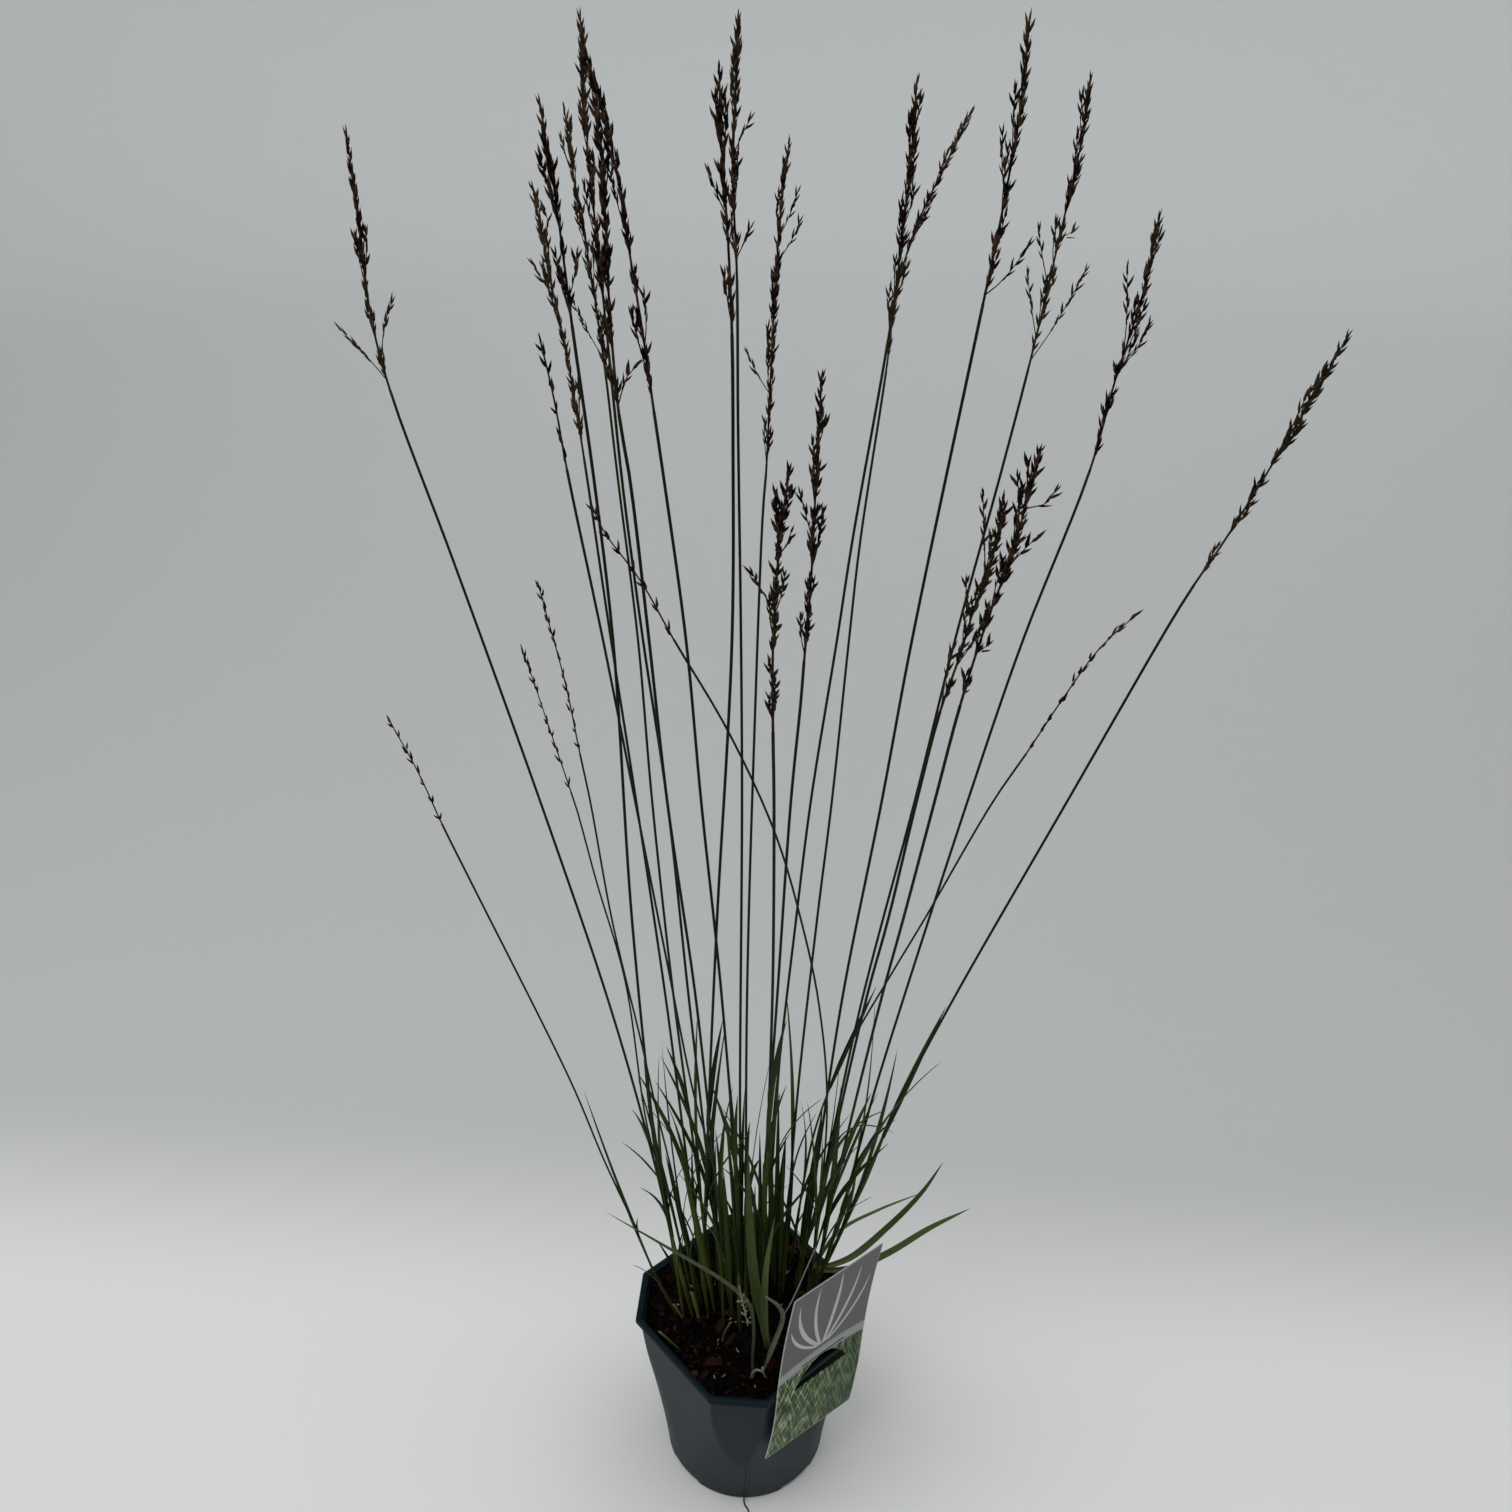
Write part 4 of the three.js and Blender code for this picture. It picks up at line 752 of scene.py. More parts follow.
def add_bunch(bm, shape, course, distance, random):
    """A few spikelets pressed to a course, the upper ones on stalks."""
    around = math.tau * random()
    for i in range(BUNCH_SPIKELETS):
        around += GOLDEN_ANGLE + 0.5 * random()
        share = (i + 0.6 * random()) / BUNCH_SPIKELETS
        start = min(distance + 0.25 * BUNCH_REACH * random(), course.length)
        heading = course.heading(start)
        stalk = aside(heading, around, math.radians(drawn((5, 12), random)))
        root = course.at(start) + stalk * min(BUNCH_REACH * share, max(0, course.length - start))
        if share > 0.4:
            add_stalk(bm, course.at(start), root, 0.98, [0.2, 0.14])
        pointing = aside(heading, around, math.radians(drawn(SPIKELET_SPREAD, random)))
        length = BUNCH_SPIKELET_SIZE * drawn((0.8, 1.12), random)
        stamp(bm, shape, root, pointing, length, length * drawn((0.85, 1.2), random), math.tau * random())


def add_axis(bm, course, around, bottom, top):
    """The thread that a head or a branch hangs its spikelets on."""
    stations = evenly(0, course.length - 1, 7)
    radii = [bottom + (top - bottom) * d / course.length for d in stations]
    round_sleeve(bm, course, stations, around, radii)


def add_ear(bm, shape, course, bare, step, random):
    """A thread, bare at first, then set with spikelets in a spindle that is fullest in its middle."""
    add_axis(bm, course, 4, *EAR_AXIS_RADII)
    distance = bare
    around = math.tau * random()
    while distance < course.length - 2:
        around += GOLDEN_ANGLE
        fullness = math.sin(math.pi * (0.1 + 0.8 * (distance - bare) / (course.length - bare)))
        spread = drawn(SPIKELET_SPREAD, random) * (0.4 + 0.6 * fullness)
        length = SPIKELET_SIZE * (0.8 + 0.3 * fullness) * drawn((0.85, 1.15), random)
        stamp(bm, shape, course.at(distance), aside(course.heading(distance), around, math.radians(spread)),
              length, length * (0.6 + 0.45 * fullness) * drawn((0.85, 1.15), random), around)
        distance += step * drawn((0.7, 1.3), random)
    stamp(bm, shape, course.at(course.length - 2.5), course.heading(course.length - 1), 5.5, 4.4)


def pressed_branch(axis, distance, around, length, spread):
    """The course of a branch that leaves the axis at an angle and then follows it."""
    root = axis.at(distance)
    out = aside(axis.heading(distance), around, spread)
    middle = root + out * length * 0.4
    follow = axis.heading(min(distance + length, axis.length - 1))
    upper = middle + (out + follow).normalized() * length * 0.35
    return Course.smooth([root, middle, upper, upper + (out * 0.3 + follow).normalized() * length * 0.25])


def branch_form(kind, lift, random):
    """The length, the spread and the bare share of a branch; lift scales its length."""
    reaches, spreads, bare = kind
    return drawn(reaches, random) * lift, drawn(spreads, random), bare


def add_tier(bm, shape, axis, distance, lift, random):
    """Branches that leave the axis together: short ones pressed to it, and now and then a long one."""
    around = math.tau * random()
    for i in range(TIER_BRANCHES + 1):
        around += GOLDEN_ANGLE * drawn((0.8, 1.2), random)
        reach, spread, bare = branch_form(SHORT_BRANCH, lift, random)
        if i == TIER_BRANCHES:
            if random() > LONG_BRANCH_CHANCE:
                break
            reach, spread, bare = branch_form(LONG_BRANCH, lift, random)
        start = distance + drawn((0, 4), random)
        reach = min(reach, (axis.length - start) * drawn((0.7, 0.94), random))
        if reach > LEAST_BRANCH:
            branch = pressed_branch(axis, start, around, reach, math.radians(spread))
            add_ear(bm, shape, branch, reach * bare, SPIKELET_STEP, random)


def add_head(bm, shape, stem, random):
    """Tiers of pressed branches on an axis, closer and shorter towards its tip, or bunches of
    spikelets on a thin one, and the side sprigs."""
    course = stem.head_course
    length = course.length
    add_axis(bm, course, 6, *(THIN_AXIS_RADII if stem.thin else AXIS_RADII))
    distance = length * HEAD_BARE_SHARE
    while distance < length - (5 if stem.thin else TOP_EAR_LENGTH - 5):
        share = distance / length
        if stem.thin:
            add_bunch(bm, shape, course, distance, random)
            distance += BUNCH_STEP * (1 - 0.5 * share) * drawn((0.7, 1.3), random)
        else:
            add_tier(bm, shape, course, distance, 1 - 0.5 * share, random)
            closer = max(2.1 - 2.75 * share, 1 - 0.4 * share)
            distance += TIER_STEP * closer * drawn((0.6, 1.35), random)
    if not stem.thin:
        top = Course([course.at(d) for d in evenly(length - TOP_EAR_LENGTH, length, 2)])
        add_ear(bm, shape, top, 0, SPIKELET_STEP, random)
    stamp(bm, shape, course.at(length - 6), course.heading(length - 1), 6.2, 4)
    for sprig in stem.record.get("sprigs", []):
        root, *others = (
            place_at_depth(place, lambda height: stem.depth_at(height) - SPRIG_DEPTH) for place in sprig)
        branch = Course.smooth([course.nearest(root), *others])
        add_ear(bm, shape, branch, branch.length * SPRIG_BARE_SHARE, SPRIG_STEP, random)


# Pot

EIGHTH = math.pi / 4


def folded_angle(angle):
    """The angle from the middle of the nearest cut face."""
    quarter = angle % (2 * EIGHTH)
    return 2 * EIGHTH - quarter if quarter > EIGHTH else quarter


def softly_less(first, second):
    """The smaller of two distances, rounded where they meet."""
    difference = (first - second) / CORNER_SOFTNESS
    if abs(difference) > 30:
        return min(first, second)
    return first - CORNER_SOFTNESS * math.log(1 + math.exp(difference))


def rim_radius(angle, height):
    """The outside of the lip, which is upright: a square with cut corners."""
    from_cut_face = folded_angle(angle)
    from_long_face = EIGHTH - from_cut_face
    return softly_less(RIM_HALF_SIDE / math.cos(from_long_face), RIM_CUT_CORNER / math.cos(from_cut_face))


def wall_radius(angle, height):
    """The outside of the wall: it grows from a circle to the rim's shape, and its cut faces are
    flat and run out low on the wall."""
    share = min(max(height / POT_HEIGHT, 0), 1)
    half_side = BASE_RADIUS + (RIM_HALF_SIDE - LIP_WIDTH - BASE_RADIUS) * share
    rounding = BASE_RADIUS + (RIM_CORNER_ROUNDING - BASE_RADIUS) * share ** ROUNDING_POWER
    straight = half_side - rounding
    from_cut_face = folded_angle(angle)
    from_long_face = EIGHTH - from_cut_face
    radius = half_side / math.cos(from_long_face)
    if radius * math.sin(from_long_face) > straight:
        spread = math.sin(2 * from_long_face)
        radius = (straight * math.sqrt(1 + spread)
                  + math.sqrt(max(0, rounding ** 2 - straight ** 2 * (1 - spread))))
    cut_face = RIM_CUT_CORNER - LIP_WIDTH - CUT_FACE_SLOPE * (1 - share)
    return softly_less(radius, cut_face / math.cos(from_cut_face))


def turned(bm, profile, around):
    """Spins a profile of (outline, inset, height) about the axis and draws each point in or out
    to its outline. An outline of None stands on the axis."""
    row_of = bm.verts.layers.int.new("row")
    row = []
    for i, (outline, inset, height) in enumerate(profile):
        row.append(bm.verts.new((0 if outline is None else 1, 0, height)))
        row[-1][row_of] = i
    edges = [bm.edges.new(pair) for pair in zip(row, row[1:])]
    bmesh.ops.spin(bm, geom=row + edges, cent=(0, 0, 0), axis=(0, 0, 1), angle=math.tau, steps=around,
                   use_merge=True)
    for point in bm.verts:
        outline, inset, height = profile[point[row_of]]
        if outline is None:
            point.co = Vector((0, 0, height))
            continue
        angle = math.atan2(point.co.y, point.co.x)
        radius = outline(angle, height) - inset
        point.co = Vector((radius * math.cos(angle), radius * math.sin(angle), height))
    bmesh.ops.remove_doubles(bm, verts=bm.verts, dist=SEAM)


def make_pot():
    """One profile, from the middle of the underside, up the outside, over the lip, and down inside."""
    lip_foot = POT_HEIGHT - LIP_HEIGHT
    inner_edge = LIP_WIDTH + WALL
    profile = [(None, 0, 1.2), (wall_radius, 12, 1.2), (wall_radius, 8, 0), (wall_radius, 1.3, 0),
               (wall_radius, 0.4, 0.4), (wall_radius, 0, 1.3)]
    profile += [(wall_radius, 0, height) for height in evenly(3, RIB_HEIGHTS[0] - 2, WALL_ROW)]
    for height in RIB_HEIGHTS:
        profile += [(wall_radius, 0, height - 0.5), (wall_radius, -RIB_DEPTH, height - 0.2),
                    (wall_radius, -RIB_DEPTH, height + 0.2), (wall_radius, 0, height + 0.5)]
    profile += [(wall_radius, 0, lip_foot - 0.5), (wall_radius, -0.5, lip_foot), (rim_radius, 0.5, lip_foot),
                (rim_radius, 0, lip_foot + 0.6),
                (rim_radius, 0, POT_HEIGHT - 0.8), (rim_radius, 0.3, POT_HEIGHT - 0.2),
                (rim_radius, 0.9, POT_HEIGHT), (rim_radius, inner_edge - 1.5, POT_HEIGHT),
                (rim_radius, inner_edge - 1.3, POT_HEIGHT - 0.7),
                (rim_radius, inner_edge - 0.6, POT_HEIGHT - 0.7),
                (wall_radius, WALL - 0.2, POT_HEIGHT - 1)]
    profile += [(wall_radius, WALL, height) for height in evenly(POT_HEIGHT - 2, FLOOR + 1, 12)]
    profile += [(wall_radius, WALL + 1, FLOOR + 0.2), (None, 0, FLOOR + 0.2)]
    bm = new_mesh()
    turned(bm, profile, POT_AROUND)
    return bm


def cut_notches(pot):
    """Cuts the drainage openings at the foot of the four long faces."""
    bm = bmesh.new()
    for i in range(4):
        block = bmesh.ops.create_cube(bm, size=MM)["verts"]
        bmesh.ops.scale(bm, vec=(NOTCH_WIDTH, NOTCH_DEPTH, 2 * NOTCH_HEIGHT), verts=block)
        bmesh.ops.translate(bm, vec=(0, BASE_RADIUS * MM, 0), verts=block)
        turn = Matrix.Rotation(EIGHTH * (2 * i + 1), 3, "Z")
        bmesh.ops.rotate(bm, cent=(0, 0, 0), matrix=turn, verts=block)
    upright = [edge for edge in bm.edges if all(v.co.z > 0 for v in edge.verts)]
    bmesh.ops.bevel(bm, geom=upright, offset=NOTCH_ROUNDING * MM, segments=3, profile=0.5,
                    affect="EDGES", material=-1)
    cutter = placed("notches", mesh_of(bm, "notches"))
    cut = pot.modifiers.new("notches", "BOOLEAN")
    cut.operation = "DIFFERENCE"
    cut.solver = "EXACT"
    cut.object = cutter
    evaluated = pot.evaluated_get(bpy.context.evaluated_depsgraph_get())
    result = bpy.data.meshes.new_from_object(evaluated)
    pot.modifiers.clear()
    pot.data = result
    bpy.data.objects.remove(cutter)


# Compost

def soil_relief(x, y):
    """Hollows, crumbs and grains of the surface."""
    place = Vector((x, y, 0))
    coarse = 2.8 * noise.noise(place / 15)
    crumb = 1.9 * noise.noise(place / 5 + Vector((7, 3, 0)))
    grain = 1.1 * noise.noise(place / 2.1 + Vector((1, 9, 0)))
    return coarse + crumb + grain


def make_compost():
    """A bed that fills the pot, with a rough top."""
    bed_edge = WALL + SOIL_GAP
    foot = FLOOR + SOIL_GAP + 0.4
    profile = [(None, 0, foot), (wall_radius, bed_edge + 1.5, foot)]
    profile += [(wall_radius, bed_edge, height) for height in (12, 40, 70, 100, 125, SOIL_FRONT_LEVEL - 6)]
    bm = new_mesh()
    rim_row = len(profile)
    inner = RIM_HALF_SIDE - LIP_WIDTH - bed_edge
    insets = evenly(bed_edge, inner, SOIL_RING)
    profile += [(wall_radius, inset, SOIL_FRONT_LEVEL) for inset in insets[:-1]]
    profile.append((None, 0, SOIL_FRONT_LEVEL))
    turned(bm, profile, SOIL_AROUND)
    row_of = bm.verts.layers.int["row"]
    for point in bm.verts:
        if point[row_of] >= rim_row:
            edge = smooth_share(point[row_of], rim_row, rim_row + 3)
            point.co.z = soil_level(point.co.y) + soil_relief(point.co.x, point.co.y) * (0.4 + 0.6 * edge)
    return bm


def chip_shape(seed):
    """A rough flake of bark, 1 long and wide and high, with broken edges."""
    bm = new_mesh()
    bmesh.ops.create_cube(bm, size=1, calc_uvs=True)
    bmesh.ops.subdivide_edges(bm, edges=bm.edges, cuts=1, use_grid_fill=True)
    for point in bm.verts:
        shift = noise.noise_vector(point.co * 1.7 + Vector((seed * 3.1, seed, 0)))
        point.co.y *= 1 - 0.45 * abs(point.co.x) * (1 + noise.noise(point.co + Vector((seed, 0, 5))))
        point.co += Vector((shift.x * 0.25, shift.y * 0.28, shift.z * 0.4))
    return mesh_of(bm, "chip")


def lay_chip(bm, shape, x, y, size, lift, slope, random):
    """Lays a flake on the surface, turned at random and tilted by up to slope."""
    tilt = (Matrix.Rotation(drawn((-slope, slope), random), 4, "X")
            @ Matrix.Rotation(drawn((-slope, slope), random), 4, "Y"))
    turn = Matrix.Rotation(math.tau * random(), 4, "Z")
    level = soil_level(y) + soil_relief(x, y) + lift
    tone = random()
    copy = shape.copy()
    for value in copy.attributes["tone"].data:
        value.value = tone
    copy.transform(Matrix.Translation((x, y, level)) @ turn @ tilt @ Matrix.Diagonal((*size, 1)))
    bm.from_mesh(copy)
    bpy.data.meshes.remove(copy)


def inside_wall(x, y, margin):
    """Whether a place on the compost is further than margin from the wall."""
    angle = math.atan2(y, x)
    return math.hypot(x, y) < wall_radius(angle, SOIL_FRONT_LEVEL) - WALL - margin


def make_bark():
    """Big flakes half sunk in the surface, small ones all over it, and lumps heaped along the back."""
    random = draws(SEEDS["bark"])
    shapes = [chip_shape(seed) for seed in range(CHIP_SHAPES)]
    bm = new_mesh()
    for i in range(BIG_CHIPS):
        distance = CHIP_FIELD * math.sqrt((i + 0.5) / BIG_CHIPS)
        x = distance * math.cos(GOLDEN_ANGLE * i)
        y = distance * math.sin(GOLDEN_ANGLE * i)
        size = (drawn((9, 15), random), drawn((4, 7), random), 3.4)
        lay_chip(bm, shapes[i % CHIP_SHAPES], x, y, size, 0.6, 0.3, random)
    for place in LUMPS:
        spot = place_on_soil(place)
        while not inside_wall(spot.x, spot.y, 4):
            spot *= 0.99
        for _ in range(LUMP_CHIPS):
            length = drawn((5, 11), random)
            size = (length, length * drawn((0.5, 0.8), random), length * drawn((0.3, 0.5), random))
            lay_chip(bm, shapes[int(CHIP_SHAPES * random())], spot.x + drawn((-3, 3), random),
                     spot.y + drawn((-4, 1), random), size, drawn((0, 3), random), 0.7, random)
    for i in range(SMALL_CHIPS):
        distance = SMALL_CHIP_FIELD * math.sqrt((i + 0.5) / SMALL_CHIPS)
        x = distance * math.cos(GOLDEN_ANGLE * i) + drawn((-3, 3), random)
        y = distance * math.sin(GOLDEN_ANGLE * i) + drawn((-3, 3), random)
        length = drawn((1.4, 4.2), random) if random() < 0.86 else drawn((5, 10), random)
        size = (length, length * drawn((0.25, 0.7), random), length * drawn((0.14, 0.36), random))
        if inside_wall(x, y, 0.55 * length + 0.5):
            lay_chip(bm, shapes[i % CHIP_SHAPES], x, y, size, 0.3 * size[2] + 0.3, 0.75, random)
    return bm


def make_fibres():
    """Thin curled fibres lying on the compost."""
    random = draws(SEEDS["fibres"])
    bm = new_mesh()
    for _ in range(FIBRES):
        x, y = drawn((-60, 60), random), drawn((-60, 60), random)
        heading = math.tau * random()
        bend = drawn((-0.5, 0.5), random)
        step = drawn((1.6, 3.8), random)
        points = []
        for i in range(6):
            if inside_wall(x, y, 2):
                lift = 0.6 + 1.4 * math.sin(math.pi * i / 5) * random()
                points.append(Vector((x, y, soil_level(y) + soil_relief(x, y) + lift)))
            heading += bend
            x += step * math.cos(heading)
            y += step * math.sin(heading)
        if len(points) > 3:
            course = Course.smooth(points)
            rows = evenly(0, course.length, 1.6)
            radius = drawn((0.12, 0.24), random)
            round_sleeve(bm, course, rows, 4, [radius] * len(rows), drawn((0.5, 1), random))
    return bm


def make_splinters():
    """A few pale splinters and grains among the bark."""
    random = draws(SEEDS["splinters"])
    shape = chip_shape(9)
    bm = new_mesh()
    for _ in range(SPLINTERS):
        x = drawn((-52, 58), random)
        y = drawn((-66, 50), random)
        length = drawn((1.4, 3.8), random)
        size = (length, drawn((0.6, 1.1), random), drawn((0.5, 0.9), random))
        if inside_wall(x, y, 4):
            lay_chip(bm, shape, x, y, size, 1.1, 0.6, random)
    return bm


# Label

def label_place():
    """Where the label hangs: turned to the front right long face of the pot, and tilted on the rim."""
    return (Matrix.Rotation(-EIGHTH, 4, "Z") @ Matrix.Translation((0, CARD_SHIFT, POT_HEIGHT))
            @ Matrix.Rotation(CARD_TURN, 4, "X") @ Matrix.Translation((0, 0, -POT_HEIGHT)))


def card_distance(height):
    """How far out the card stands at a height: against the rim, leaning and slightly bowed."""
    below = max(0, (POT_HEIGHT - height) / (POT_HEIGHT - CARD_FOOT))
    above = max(0, (height - POT_HEIGHT) / (CARD_FOOT + CARD_HEIGHT - POT_HEIGHT))
    bow = CARD_BOW_BELOW * math.sin(math.pi * below) + CARD_BOW_ABOVE * math.sin(math.pi * above)
    return RIM_HALF_SIDE + SOIL_GAP + CARD_THICKNESS / 2 + bow + (height - POT_HEIGHT) * math.tan(CARD_LEAN)


def loop_of(bm, points):
    """The edges of a closed outline in the plane of the card."""
    corners = [bm.verts.new((0, across, height)) for across, height in points]
    return [bm.edges.new(pair) for pair in zip(corners, corners[1:] + corners[:1])]


def make_card():
    """The card with its window: cut flat, printed, then bowed."""
    half = CARD_WIDTH / 2
    bm = new_mesh()
    outline = []
    for across, height, start in ((half, CARD_FOOT, 3), (half, CARD_FOOT + CARD_HEIGHT, 0),
                                  (-half, CARD_FOOT + CARD_HEIGHT, 1), (-half, CARD_FOOT, 2)):
        centre = (across - math.copysign(CARD_CORNER, across),
                  height + (CARD_CORNER if height == CARD_FOOT else -CARD_CORNER))
        for step in range(4):
            angle = (start + step / 3) * math.pi / 2
            outline.append((centre[0] + CARD_CORNER * math.cos(angle),
                            centre[1] + CARD_CORNER * math.sin(angle)))
    window = [(-WINDOW_WIDTH / 2 + WINDOW_WIDTH * t,
               WINDOW_FOOT + 4 * WINDOW_RISE * t * (1 - t)) for t in (i / 24 for i in range(25))]
    edges = loop_of(bm, outline) + loop_of(bm, window)
    bmesh.ops.triangle_fill(bm, edges=edges, use_beauty=True, normal=(1, 0, 0))
    for height in evenly(CARD_FOOT, CARD_FOOT + CARD_HEIGHT, 4)[1:-1]:
        bmesh.ops.bisect_plane(bm, geom=bm.verts[:] + bm.edges[:] + bm.faces[:], plane_co=(0, 0, height),
                               plane_no=(0, 0, 1))
    uv = bm.loops.layers.uv.active
    for face in bm.faces:
        if face.normal.x < 0:
            face.normal_flip()
        for loop in face.loops:
            place = loop.vert.co
            loop[uv].uv = (place.y / CARD_WIDTH + 0.5, (place.z - CARD_FOOT) / CARD_HEIGHT)
    bmesh.ops.solidify(bm, geom=bm.faces[:], thickness=CARD_THICKNESS)
    for point in bm.verts:
        curl = 1.6 * smooth_share(point.co.y, 22, half) * smooth_share(CARD_FOOT + 40 - point.co.z, 0, 45)
        point.co.x += card_distance(point.co.z) + curl
    bm.faces.ensure_lookup_table()
    for face in bm.faces:
        middle = face.calc_center_median()
        at_back = middle.x < card_distance(middle.z) - 0.1 and abs(face.normal.x) > 0.8
        face.material_index = 1 if at_back else 0
    bmesh.ops.transform(bm, matrix=label_place(), verts=bm.verts)
    return bm


def make_tongue():
    """The flap pressed out of the window, which hooks the card over the wall."""
    top = WINDOW_FOOT + WINDOW_RISE
    rim_out = RIM_HALF_SIDE + SOIL_GAP + CARD_THICKNESS / 2
    wall_in = RIM_HALF_SIDE - LIP_WIDTH - WALL
    places = [Vector((x, 0, z)) for x, z in (
        (rim_out + 0.1, top + 1.5), (rim_out - 2, top - 3.5), (wall_in, POT_HEIGHT + 4),
        (wall_in - 1.4, POT_HEIGHT - 4), (wall_in - 3.4, TONGUE_END))]
    course = Course.smooth(places)
    stations = [0, *evenly(0, course.length, 3), course.length]
    half, thickness = TONGUE_WIDTH / 2, CARD_THICKNESS / 2
    ends = (0, len(stations) - 1)
    bm = new_mesh()

    def section(row, turn):
        if row in ends:
            return 0, 0
        flat = max(abs(math.cos(turn)), abs(math.sin(turn)))
        return half * math.cos(turn) / flat, thickness * math.sin(turn) / flat

    sleeve(bm, course, stations, 8,
           lambda distance: (Vector((0, 1, 0)), Vector((0, 1, 0)).cross(course.heading(distance))), section)
    bmesh.ops.transform(bm, matrix=label_place(), verts=bm.verts)
    return bm


# Finishes: shader arithmetic is written with operators on sockets

class Tone:
    """An output socket; arithmetic on it adds Math nodes."""

    def __init__(self, finish, output):
        self.finish = finish
        self.output = output

    def __add__(self, other):
        return self.finish.maths("ADD", self, other)

    def __sub__(self, other):
        return self.finish.maths("SUBTRACT", self, other)

    def __rsub__(self, other):
        return self.finish.maths("SUBTRACT", other, self)

    def __mul__(self, other):
        return self.finish.maths("MULTIPLY", self, other)

    def __truediv__(self, other):
        return self.finish.maths("DIVIDE", self, other)

    def __pow__(self, other):
        return self.finish.maths("POWER", self, other)

    __radd__ = __add__
    __rmul__ = __mul__


class Finish:
    """A material in the making."""

    def __init__(self, name):
        self.material = bpy.data.materials.new(name)
        self.material.use_nodes = True
        self.tree = self.material.node_tree
        self.tree.nodes.clear()

    def node(self, kind, settings, sockets, output=0):
        made = self.tree.nodes.new(kind)
        for setting, value in settings.items():
            setattr(made, setting, value)
        for socket, value in sockets.items():
            if isinstance(value, Tone):
                self.tree.links.new(value.output, made.inputs[socket])
            else:
                made.inputs[socket].default_value = value
        return Tone(self, made.outputs[output]) if made.outputs else None

    def maths(self, operation, *values):
        return self.node("ShaderNodeMath", {"operation": operation}, dict(enumerate(values)))

    def place(self):
        return self.node("ShaderNodeTexCoord", {}, {}, "Object")

    def along(self):
        return self.node("ShaderNodeUVMap", {"uv_map": "UVMap"}, {})

    def parts(self, vector):
        split = self.tree.nodes.new("ShaderNodeSeparateXYZ")
        self.tree.links.new(vector.output, split.inputs[0])
        return [Tone(self, output) for output in split.outputs]

    def stretched(self, vector, longer, turn=(0, 0, 0)):
        """Makes a pattern longer along each axis, the axes turned."""
        return self.node("ShaderNodeMapping", {"vector_type": "TEXTURE"}, {
            "Vector": vector, "Scale": longer, "Rotation": turn})

    def leaf_marks(self, around, count):
        """Fine ribs round a leaf or a stem, and how near its edges a place is, from 0 to 1."""
        turning = around * math.tau
        return self.maths("SINE", turning * count) * 0.5 + 0.5, self.maths("COSINE", turning) ** 2

    def tone(self):
        return self.node("ShaderNodeAttribute", {"attribute_name": "tone"}, {}, "Fac")

    def cloud(self, vector, scale, detail=3, roughness=0.55):
        return self.node("ShaderNodeTexNoise", {}, {
            "Vector": vector, "Scale": scale, "Detail": detail, "Roughness": roughness})

    def rise(self, value, low, high):
        """0 below low, 1 above high, smooth between them."""
        return self.node("ShaderNodeMapRange", {"interpolation_type": "SMOOTHSTEP"}, {
            "Value": value, "From Min": low, "From Max": high})

    def mixed(self, amount, first, second):
        first, second = ((*c, 1) if isinstance(c, tuple) else c for c in (first, second))
        return self.node("ShaderNodeMix", {"data_type": "RGBA"}, {0: amount, 6: first, 7: second}, 2)

    def bump(self, height, strength, distance):
        return self.node("ShaderNodeBump", {}, {
            "Height": height, "Strength": strength, "Distance": distance})

    def painted(self, **sockets):
        names = {"colour": "Base Color", "roughness": "Roughness", "normal": "Normal",
                 "specular": "Specular IOR Level"}
        surface = self.node("ShaderNodeBsdfPrincipled", {}, {
            names[key]: value for key, value in sockets.items()})
        self.node("ShaderNodeOutputMaterial", {}, {"Surface": surface})
        return self.material


def moulded_plastic():
    """Dark slate green, dusty on the walls, cleaner on the lip, dirty at its foot; the cut faces are
    darkened with painted shade and made glossier.
    """
    finish = Finish("moulded_plastic")
    place = finish.place()
    across, deep, height = finish.parts(place)
    clouds = finish.cloud(place, 20, 4)
    streaks = finish.cloud(finish.stretched(place, (1, 1, 12)), 320, 3)
    grain = finish.cloud(place, 1500, 2)
    specks = finish.rise(finish.cloud(place, 800, 2), 0.67, 0.74)
    wall = 1 - finish.rise(height, 0.1445, 0.1462)
    outermost = finish.maths(
        "MAXIMUM", finish.maths("ABSOLUTE", across), finish.maths("ABSOLUTE", deep))
    # Painted shade: the cut-face mask below lowers the dust on the flat cut faces, which darkens them as if
    # less light fell there.
    foot_of_face = (RIM_CUT_CORNER - LIP_WIDTH - CUT_FACE_SLOPE) * MM
    beyond = outermost - (foot_of_face + height * (CUT_FACE_SLOPE / POT_HEIGHT))
    cut_face = finish.rise(beyond, -0.0007, -0.0002) * wall
    # This dust mask also carries the painted shade of the cut faces.
    dust_and_painted_shade = wall * (0.55 + 0.45 * finish.rise(clouds + streaks * 0.3, 0.5, 0.85)) * (1 - cut_face * 0.66)
    dirty = (1 - finish.rise(height, 0.001, 0.013)) * finish.rise(finish.cloud(place, 120, 4), 0.42, 0.62)
    colour = finish.mixed(dust_and_painted_shade, (0.0020, 0.0072, 0.0092), (0.031, 0.0445, 0.0520))
    colour = finish.mixed(specks * wall * 0.25, colour, (0.14, 0.13, 0.11))
    colour = finish.mixed(dirty * 0.6, colour, (0.070, 0.058, 0.043))
    return finish.painted(
        colour=colour, roughness=0.34 + 0.14 * dust_and_painted_shade + 0.06 * streaks + 0.2 * dirty,
        normal=finish.bump(grain * 0.5 + streaks * 0.5, 0.08, 0.0006), specular=0.08)


